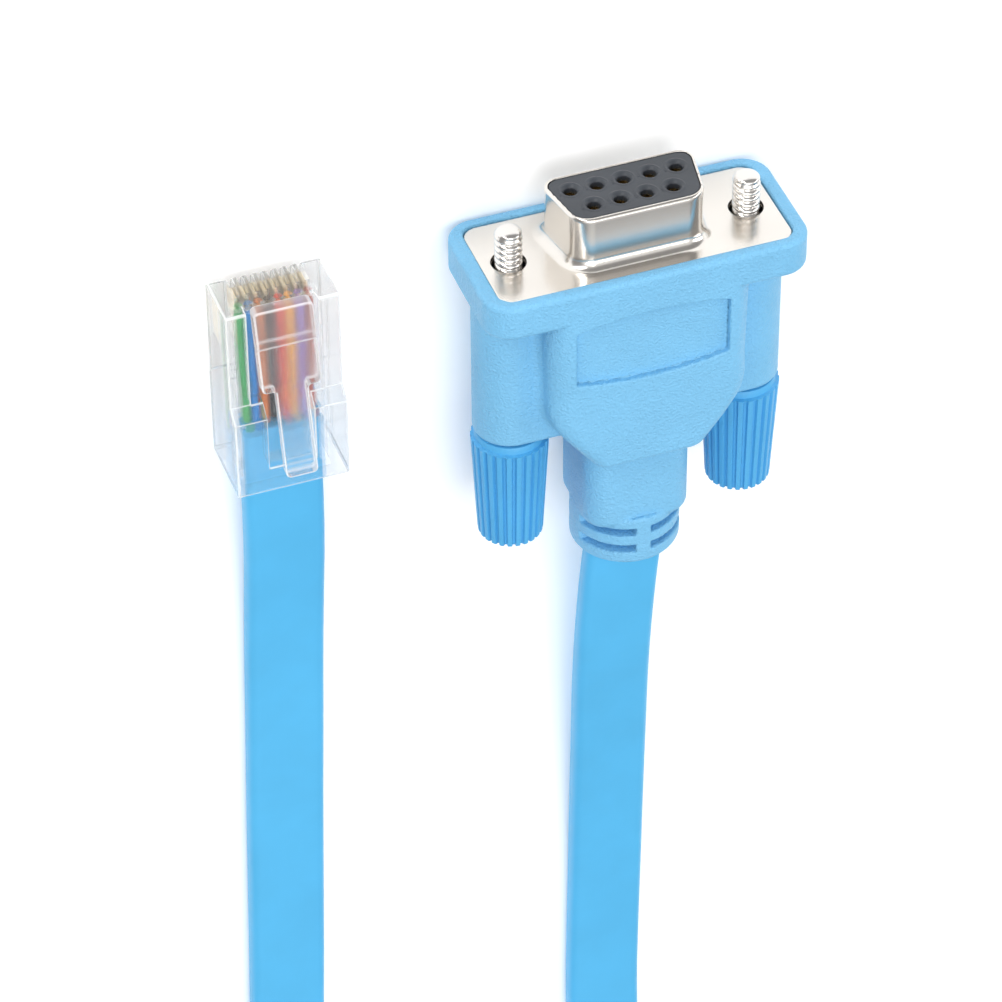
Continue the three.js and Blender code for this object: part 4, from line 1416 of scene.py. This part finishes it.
@dataclass
class Thumbscrew:
    """A thumbscrew: a threaded steel shaft in a moulded knob with a smooth collar and broad ribs."""

    side: Side
    jack_x: float = 12.5
    radius: float = 1.4
    reach: float = 4.2
    thread_pitch: float = 0.74
    thread_depth: float = 0.32
    thread_end: float = 2.0
    knob_start: float = 21.1
    knob_length: float = 13.6
    front_radius: float = 4.0
    back_radius: float = 3.35
    collar: float = 1.0
    rib_count: int = 24
    rib_height: float = 0.38
    tail: float = 9.5
    bore_radius: float = 1.45
    dome: float = 0.8
    crest_power: float = 0.9
    end_round: float = 0.35
    rib_steps: int = 16

    def shaft(self) -> Surface:
        """The shaft: a profile of radius over y, cut by a helical groove.

        The thread's crest follows the size of the sine of the helix's turn, raised to a small
        power, so that crests are broad and grooves narrow. The tip is a dome.

        Returns:
            The shaft's surface.
        """
        tip, tail = -self.reach, self.knob_start + self.tail
        bow = np.linspace(0, math.pi / 2, 12)[1:]
        dome = np.stack([self.radius * np.sin(bow), tip + self.dome * (1 - np.cos(bow))], 1)
        rows = np.arange(tip + 0.84, self.thread_end + 0.4, 0.04)
        threaded = np.stack([np.full(len(rows), self.radius), rows], 1)
        end = np.array([[self.radius, 8.0], [self.radius, tail - 0.1], [self.radius - 0.1, tail]])

        def cut(base: Array, angle: Array, y: Array) -> Array:
            """Takes the thread's groove out of the radius.

            Args:
                base: Radius of the profile.
                angle: Angle round the axis.
                y: Place along the axis.

            Returns:
                The radius with the thread cut.
            """
            turn = y / self.thread_pitch - angle / (2 * math.pi)
            crest = np.abs(np.sin(math.pi * turn)) ** self.crest_power
            fade = np.clip((self.thread_end - y) / 0.5, 0, 1) * np.clip((y - tip - 0.35) / 0.6, 0, 1)
            return base - self.thread_depth * (1 - crest) * fade

        return turned(np.concatenate([dome, threaded, end]), 72, cut)

    def knob(self) -> Surface:
        """The knob: a collar, then a barrel whose radius narrows to the back and dips between ribs.

        The dip is a smooth trapezium wave of the angle: low for a quarter of each rib's share, flat
        on top for a half, with even S curves between.

        Returns:
            The knob's surface.
        """
        start, end = self.knob_start, self.knob_start + self.knob_length
        low = self.front_radius - self.rib_height
        bore = [
            (self.bore_radius, start + self.tail + 0.05), (self.bore_radius, start),
            (low - 0.3, start), (low - 0.08, start + 0.07), (low, start + 0.3),
            (low, start + self.collar - 0.12),
        ]
        barrel_y = np.linspace(start + self.collar, end - self.end_round, 26)
        share = (barrel_y - start - self.collar) / (self.knob_length - self.collar)
        barrel_r = self.front_radius + (self.back_radius - self.front_radius) * share
        bow = np.linspace(0, math.pi / 2, 6)[1:]
        back_y = end - self.end_round + self.end_round * np.sin(bow)
        back = np.stack([barrel_r[-1] - 0.3 * (1 - np.cos(bow)), back_y], 1)
        barrel = np.stack([barrel_r, barrel_y], 1)
        profile = np.concatenate([np.array(bore), barrel, back, [[back[-1, 0] * 0.5, end]]])

        def ribbed(base: Array, angle: Array, y: Array) -> Array:
            """Takes the dips between the ribs out of the radius.

            Args:
                base: Radius of the profile.
                angle: Angle round the axis.
                y: Place along the axis.

            Returns:
                The radius with the ribs.
            """
            share = (angle * self.rib_count / (2 * math.pi)) % 1
            up, down = np.clip((share - 0.22) / 0.16, 0, 1), np.clip((share - 0.84) / 0.16, 0, 1)
            ridge = up**2 * (3 - 2 * up) - down**2 * (3 - 2 * down)
            on = np.clip((y - start - self.collar + 0.12) / 0.35, 0, 1) * (base > 2)
            return base - self.rib_height * (1 - ridge) * on * np.clip(base / self.front_radius, 0, 1)

        return turned(profile, self.rib_count * self.rib_steps, ribbed)

    def build(self, bench: Workbench, place: Array) -> None:
        """Builds shaft and knob on the thumbscrew's own body.

        Args:
            bench: Where pieces are made.
            place: The connector's origin in the part's frame.
        """
        word = self.side.word
        at = place + [self.side.value * self.jack_x, 0, 0]
        body, finishes = f"thumbscrew_{word}", bench.finishes
        shaft, knob = self.shaft().moved(at), self.knob().moved(at)
        nodes = f"jackscrew_{word}", f"knob_{word}"
        bench.add(f"screw_{word}", shaft, body, "screw_steel", finishes.steel, nodes[:1], sharp=85)
        bench.add(f"thumb_knob_{word}", knob, body, "knob_plastic", finishes.knob, nodes[1:], sharp=35)


@dataclass
class Connector:
    """The whole nine-way connector, placed in the part's frame."""

    plate_y: float = -16.35
    middle_z: float = 7.5

    def build(self, bench: Workbench) -> None:
        """Builds its pieces in order.

        Args:
            bench: Where pieces are made.
        """
        place = np.array([0, self.plate_y, self.middle_z])
        face = MetalFace()
        Hood(face).build(bench, place)
        face.build(bench, place)
        Insulator(face).build(bench, place)
        for side in Side:
            Thumbscrew(side).build(bench, place)


# Eight-way plug, in its own frame: y from the nose to the cable, z from the contact side


@dataclass
class Plug:
    """The clear plug: a housing with a comb of slots, a latch, eight wires and eight blades."""

    x: float = 35.5
    nose_y: float = -16.8
    width: float = 11.7
    length: float = 22.0
    nose_length: float = 11.4
    nose_bottom: float = 0.35
    nose_top: float = 6.9
    height: float = 8.2
    nose_chamfer: float = 0.7
    way_pitch: float = 1.02
    slot_width: float = 0.48
    slot_length: float = 6.8
    wire_radius: float = 0.465
    wire_z: float = 3.75
    wire_end: float = 16.2
    jacket_pitch: float = 0.96
    recess_side: float = 2.2
    recess_floor: float = 5.5
    clamp_width: float = 4.8
    clamp_end: float = 19.0
    clamp_floor: float = 5.8
    latch_angle: float = 14.0
    latch_start: float = 0.05
    latch_pivot: tuple[float, float] = (0.6, 6.5)
    latch_thickness: float = 1.15
    latch_ridge: float = 3.9
    latch_shoulder: float = 8.7
    latch_end: float = 18.0
    latch_width: float = 6.1
    lever_width: float = 3.3
    shell_edge: float = 0.22
    end_edge: float = 0.2
    cut_edge: float = 0.1
    cavity_width: float = 9.0
    cavity_start: float = 1.7
    wire_room: float = 0.63
    jacket_room: float = 0.92
    room_opens: tuple[float, float] = (13.6, 2.6)
    ridge_lift: float = 0.16
    ridge_slope: float = 0.25
    tongue_corner: float = 0.5
    lever_fillet: float = 0.35
    latch_edge: float = 0.16
    full_bend: float = 3.0
    bend_reach: float = 0.03
    plain_width: float = 9.6
    plain_height: float = 3.5
    ridge_reach: float = 0.17
    ridge_shade: float = 0.8
    cell: tuple[float, float, float] = (0.12, 0.2, 0.15)
    latch_cell: tuple[float, float, float] = (0.12, 0.14, 0.12)
    latch_space: tuple[tuple[float, ...], ...] = ((-3.1, -0.2, 5), (3.1, 18.0, 11.9))

    @property
    def place(self) -> Array:
        """The plug's own origin in the part's frame."""
        return np.array([self.x, self.nose_y, 0])

    def housing(self, x: Array, y: Array, z: Array) -> Array:
        """The housing: a nose and a higher rear with slanting steps, less cavity, slots and recesses.

        Args:
            x: Across.
            y: Towards the cable.
            z: Up.

        Returns:
            The field.
        """
        half, root = self.width / 2, math.sqrt(2)
        sides, middle = np.abs(x) - half, (self.nose_bottom + self.nose_top) / 2
        upright = np.abs(z - middle) - (self.nose_top - self.nose_bottom) / 2
        chamfer = (self.nose_bottom + self.nose_chamfer - y - z) / root
        block = cornered(sides, upright, self.shell_edge)
        nose = np.maximum(cornered(block, between(y, 0, self.nose_length + 2), self.end_edge), chamfer)
        top = ((z - self.nose_top) - (y - self.nose_length)) / root
        bottom = ((self.nose_bottom - z) - (y - self.nose_length)) / root
        upright = np.maximum(between(z, 0, self.height), np.maximum(top, bottom))
        block = cornered(sides, upright, self.shell_edge)
        rear = cornered(block, between(y, self.nose_length - 0.5, self.length), self.end_edge)
        whole = np.minimum(nose, rear)
        start, over = self.room_opens
        room = self.wire_room + self.jacket_room * np.clip((y - start) / over, 0, 1)
        cavity = np.maximum(np.abs(x) - self.cavity_width / 2, np.abs(z - self.wire_z) - room)
        cavity = np.maximum(cavity, self.cavity_start - y)
        folded = np.abs(x / self.way_pitch - np.floor(x / self.way_pitch) - 0.5) * self.way_pitch
        slots = np.maximum(folded - self.slot_width / 2, np.abs(x) - 4 * self.way_pitch)
        slots = np.maximum(np.maximum(slots, y - self.slot_length), z - self.wire_z)
        recess = np.maximum(np.abs(x) - half + self.recess_side, y - self.nose_length)
        recess = np.maximum(recess, self.recess_floor - z)
        clamp = np.maximum(np.abs(x) - self.clamp_width / 2, between(y, self.nose_length - 1, self.clamp_end))
        clamp = np.maximum(clamp, self.clamp_floor - z)
        cuts = np.minimum(np.minimum(cavity, slots), np.minimum(recess, clamp))
        return carved(whole, cuts, self.cut_edge)

    def latch(self, x: Array, y: Array, z: Array) -> Array:
        """The latch: a leaning strip within its plan, a wide tongue and then a narrow lever.

        The strip is the distance to its middle plane less half its thickness, which is a little
        more as far as the ridge. The plan is the two rounded rectangles joined with small fillets.

        Args:
            x: Across.
            y: Towards the cable.
            z: Up.

        Returns:
            The field.
        """
        lean = math.radians(self.latch_angle)
        dy, dz = y - self.latch_pivot[0], z - self.latch_pivot[1]
        across = dz * math.cos(lean) - dy * math.sin(lean)
        lift = self.ridge_lift * np.clip((self.latch_ridge - y) / self.ridge_slope + 0.5, 0, 1)
        strip = np.maximum(across - self.latch_thickness / 2 - lift, -across - self.latch_thickness / 2)
        along = between(y, self.latch_start, self.latch_shoulder)
        tongue = cornered(np.abs(x) - self.latch_width / 2, along, self.tongue_corner)
        along = between(y, self.latch_ridge, self.latch_end)
        lever = cornered(np.abs(x) - self.lever_width / 2, along, self.tongue_corner)
        return cornered(filleted(tongue, lever, self.lever_fillet), strip, self.latch_edge)

    def wire(self, way: float) -> Surface:
        """One wire: a circle carried along a way that eases sideways from its slot to the jacket.

        Args:
            way: The wire's way, counted from the middle one.

        Returns:
            The wire's surface.
        """
        y = np.linspace(2.0, self.wire_end, 44)
        share = np.clip((y - self.slot_length) / (self.wire_end - 2 - self.slot_length), 0, 1)
        ease = share**2 * (3 - 2 * share)
        x = way * (self.way_pitch + (self.jacket_pitch - self.way_pitch) * ease)
        path = np.stack([x, y, np.full(len(y), self.wire_z)], 1)
        turn = np.linspace(0, 2 * math.pi, 20, endpoint=False)
        outline = self.wire_radius * np.stack([np.cos(turn), np.sin(turn)], 1)
        wide, thick = np.tile([1.0, 0, 0], (len(y), 1)), np.tile([0, 0, -1.0], (len(y), 1))
        return carried(path, wide, thick, outline, closed=False)

    def build(self, bench: Workbench) -> list[bpy.types.Object]:
        """Builds the plug, with a painted highlight marked on the rounded edges of its clear pieces but not
        round the cavity, and along the latch's ridge.

        Args:
            bench: Where pieces are made.

        Returns:
            The plug's pieces that are on the cable.
        """
        finishes, half = bench.finishes, self.width / 2
        body = skin(self.housing, (-half, 0, 0), (half, self.length, self.height), self.cell)
        x, _, z = body.points.T
        cavity = (np.abs(x) < self.plain_width / 2) & (np.abs(z - self.wire_z) < self.plain_height / 2)
        edges = edges_of(self.housing, body.points, self.bend_reach, self.full_bend)
        # Painted highlight on the shell's rounded edges, none round the cavity.
        body.shade = np.where(cavity, 0, edges)
        tongue = skin(self.latch, *self.latch_space, self.latch_cell)
        ridge = np.abs(tongue.points[:, 1] - self.latch_ridge) < self.ridge_reach
        edges = edges_of(self.latch, tongue.points, self.bend_reach, self.full_bend)
        # Painted highlight on the latch's rounded edges, and as a line along its ridge.
        tongue.shade = np.maximum(edges, self.ridge_shade * ridge)
        body, tongue = body.moved(self.place), tongue.moved(self.place)
        pieces = [
            bench.add("plug_shell", body, "cable", "clear_plastic", finishes.clear, ("plug_housing",)),
            bench.add("latch_tongue", tongue, "latch", "clear_plastic", finishes.latch, ("plug_latch",)),
        ]
        ways = np.arange(8) - 3.5
        for i, colour in enumerate(WireColour):
            name, surface = f"wire_{colour.word}", self.wire(ways[7 - i]).moved(self.place)
            finish = finishes.wire(colour)
            pieces.append(bench.add(f"{name}_jacket", surface, "cable", name, finish, (name,), sharp=50))
            pieces.append(bench.dress(f"plug_blade_{i + 1}", finishes.blade))
        return pieces


# Studio


@dataclass
class Studio:
    """Camera, pale floor and soft light."""

    picture: int = 1002
    shrink: float = 0.98
    lens_pixels: float = 5000.0
    centre: tuple[float, float] = (625.0, 350.0)
    place: tuple[float, float, float] = (0.138874, -0.316631, 0.358936)
    right: tuple[float, float, float] = (-0.939702, 0.006317, 0.341936)
    down: tuple[float, float, float] = (0.231307, 0.748197, 0.621851)
    away: tuple[float, float, float] = (-0.251907, 0.663447, -0.704543)
    floor_reach: float = 1.5
    floor_drop: float = 2e-4
    floor_grey: float = 0.97
    floor_glow: float = 0.16
    room_strength: float = 0.68
    room_greys: tuple[tuple[float, float], ...] = ((0.35, 0.45), (0.62, 0.5), (0.72, 1.0), (0.8, 1.3))
    lamps: tuple[tuple, ...] = (
        ("overhead", (0.1, -0.15, 0.9), 4.2, 0.7, 0.7),
        ("front", (0.5, -0.75, 0.35), 2.6, 0.25, 0.6),
        ("side", (-0.7, -0.2, 0.35), 1.6, 0.25, 0.6),
    )

    def camera(self) -> None:
        """The photograph's camera: a long lens whose shift frames both connectors."""
        data = bpy.data.cameras.new("camera")
        camera = bpy.data.objects.new("camera", data)
        bpy.context.scene.collection.objects.link(camera)
        axes = Matrix((self.right, [-v for v in self.down], [-v for v in self.away])).transposed()
        camera.matrix_world = Matrix.Translation(self.place) @ axes.to_4x4()
        half = self.picture / 2
        x, y = (self.shrink * half + (1 - self.shrink) * c for c in self.centre)
        data.sensor_width = 36
        data.lens = 36 * self.lens_pixels * self.shrink / self.picture
        data.shift_x, data.shift_y = -(x - half) / self.picture, (y - half) / self.picture
        data.clip_start = 0.01
        bpy.context.scene.camera = camera

    def floor(self) -> None:
        """A plain pale floor just below the object."""
        reach, drop = self.floor_reach, self.floor_drop
        mesh = bpy.data.meshes.new("floor")
        corners = [(reach * x, reach * y, -drop) for x, y in ((-1, -1), (1, -1), (1, 1), (-1, 1))]
        mesh.from_pydata(corners, [], [(0, 1, 2, 3)])
        floor = bpy.data.objects.new("floor", mesh)
        bpy.context.scene.collection.objects.link(floor)
        material = bpy.data.materials.new("floor")
        material.use_nodes = True
        shader = material.node_tree.nodes["Principled BSDF"]
        shader.inputs["Base Color"].default_value = (*[self.floor_grey] * 3, 1)
        shader.inputs["Roughness"].default_value = 0.9
        shader.inputs["Specular IOR Level"].default_value = 0.1
        shader.inputs["Emission Color"].default_value = (1, 1, 1, 1)
        shader.inputs["Emission Strength"].default_value = self.floor_glow
        mesh.materials.append(material)

    def lamp(self, name: str, place: Sequence[float], power: float, size: float, height: float) -> None:
        """An oblong soft lamp that points at the connectors.

        Args:
            name: The lamp's name.
            place: Its place in metres.
            power: Its power in watts.
            size: Its width in metres.
            height: Its height in metres.
        """
        data = bpy.data.lights.new(name, "AREA")
        data.shape, data.size, data.size_y, data.energy = "RECTANGLE", size, height, power
        lamp = bpy.data.objects.new(name, data)
        lamp.location = place
        lamp.rotation_euler = (Vector((0.015, 0, 0)) - lamp.location).to_track_quat("-Z", "Y").to_euler()
        bpy.context.scene.collection.objects.link(lamp)

    def light(self) -> None:
        """A room that is paler above than round the horizon, with its lamps."""
        world = bpy.data.worlds.new("room")
        world.use_nodes = True
        tree = world.node_tree
        background = tree.nodes["Background"]
        background.inputs["Strength"].default_value = self.room_strength
        split = tree.nodes.new("ShaderNodeSeparateXYZ")
        ramp = tree.nodes.new("ShaderNodeValToRGB")
        tree.links.new(tree.nodes.new("ShaderNodeTexCoord").outputs["Generated"], split.inputs["Vector"])
        tree.links.new(split.outputs["Z"], ramp.inputs["Fac"])
        tree.links.new(ramp.outputs["Color"], background.inputs["Color"])
        low, high = ramp.color_ramp.elements
        low.color, high.color = (0.5, 0.5, 0.5, 1), (1, 1, 1, 1)
        for height, grey in self.room_greys:
            ramp.color_ramp.elements.new(height).color = (grey, grey, grey, 1)
        bpy.context.scene.world = world
        for name, place, power, size, height in self.lamps:
            self.lamp(name, place, power, size, height)
        bpy.context.scene.view_settings.view_transform = "Standard"

    def build(self) -> None:
        """Sets up everything that isn't the object."""
        self.camera()
        self.floor()
        self.light()


def main() -> None:
    """Loads the frame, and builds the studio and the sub-assemblies in order."""
    logging.basicConfig(level=logging.INFO, format="%(message)s")
    bench = Workbench(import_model())
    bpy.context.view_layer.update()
    Studio().build()
    plug_pieces = Plug().build(bench)
    FlatCable().build(bench, plug_pieces)
    Connector().build(bench)


if __name__ == "__main__":
    main()
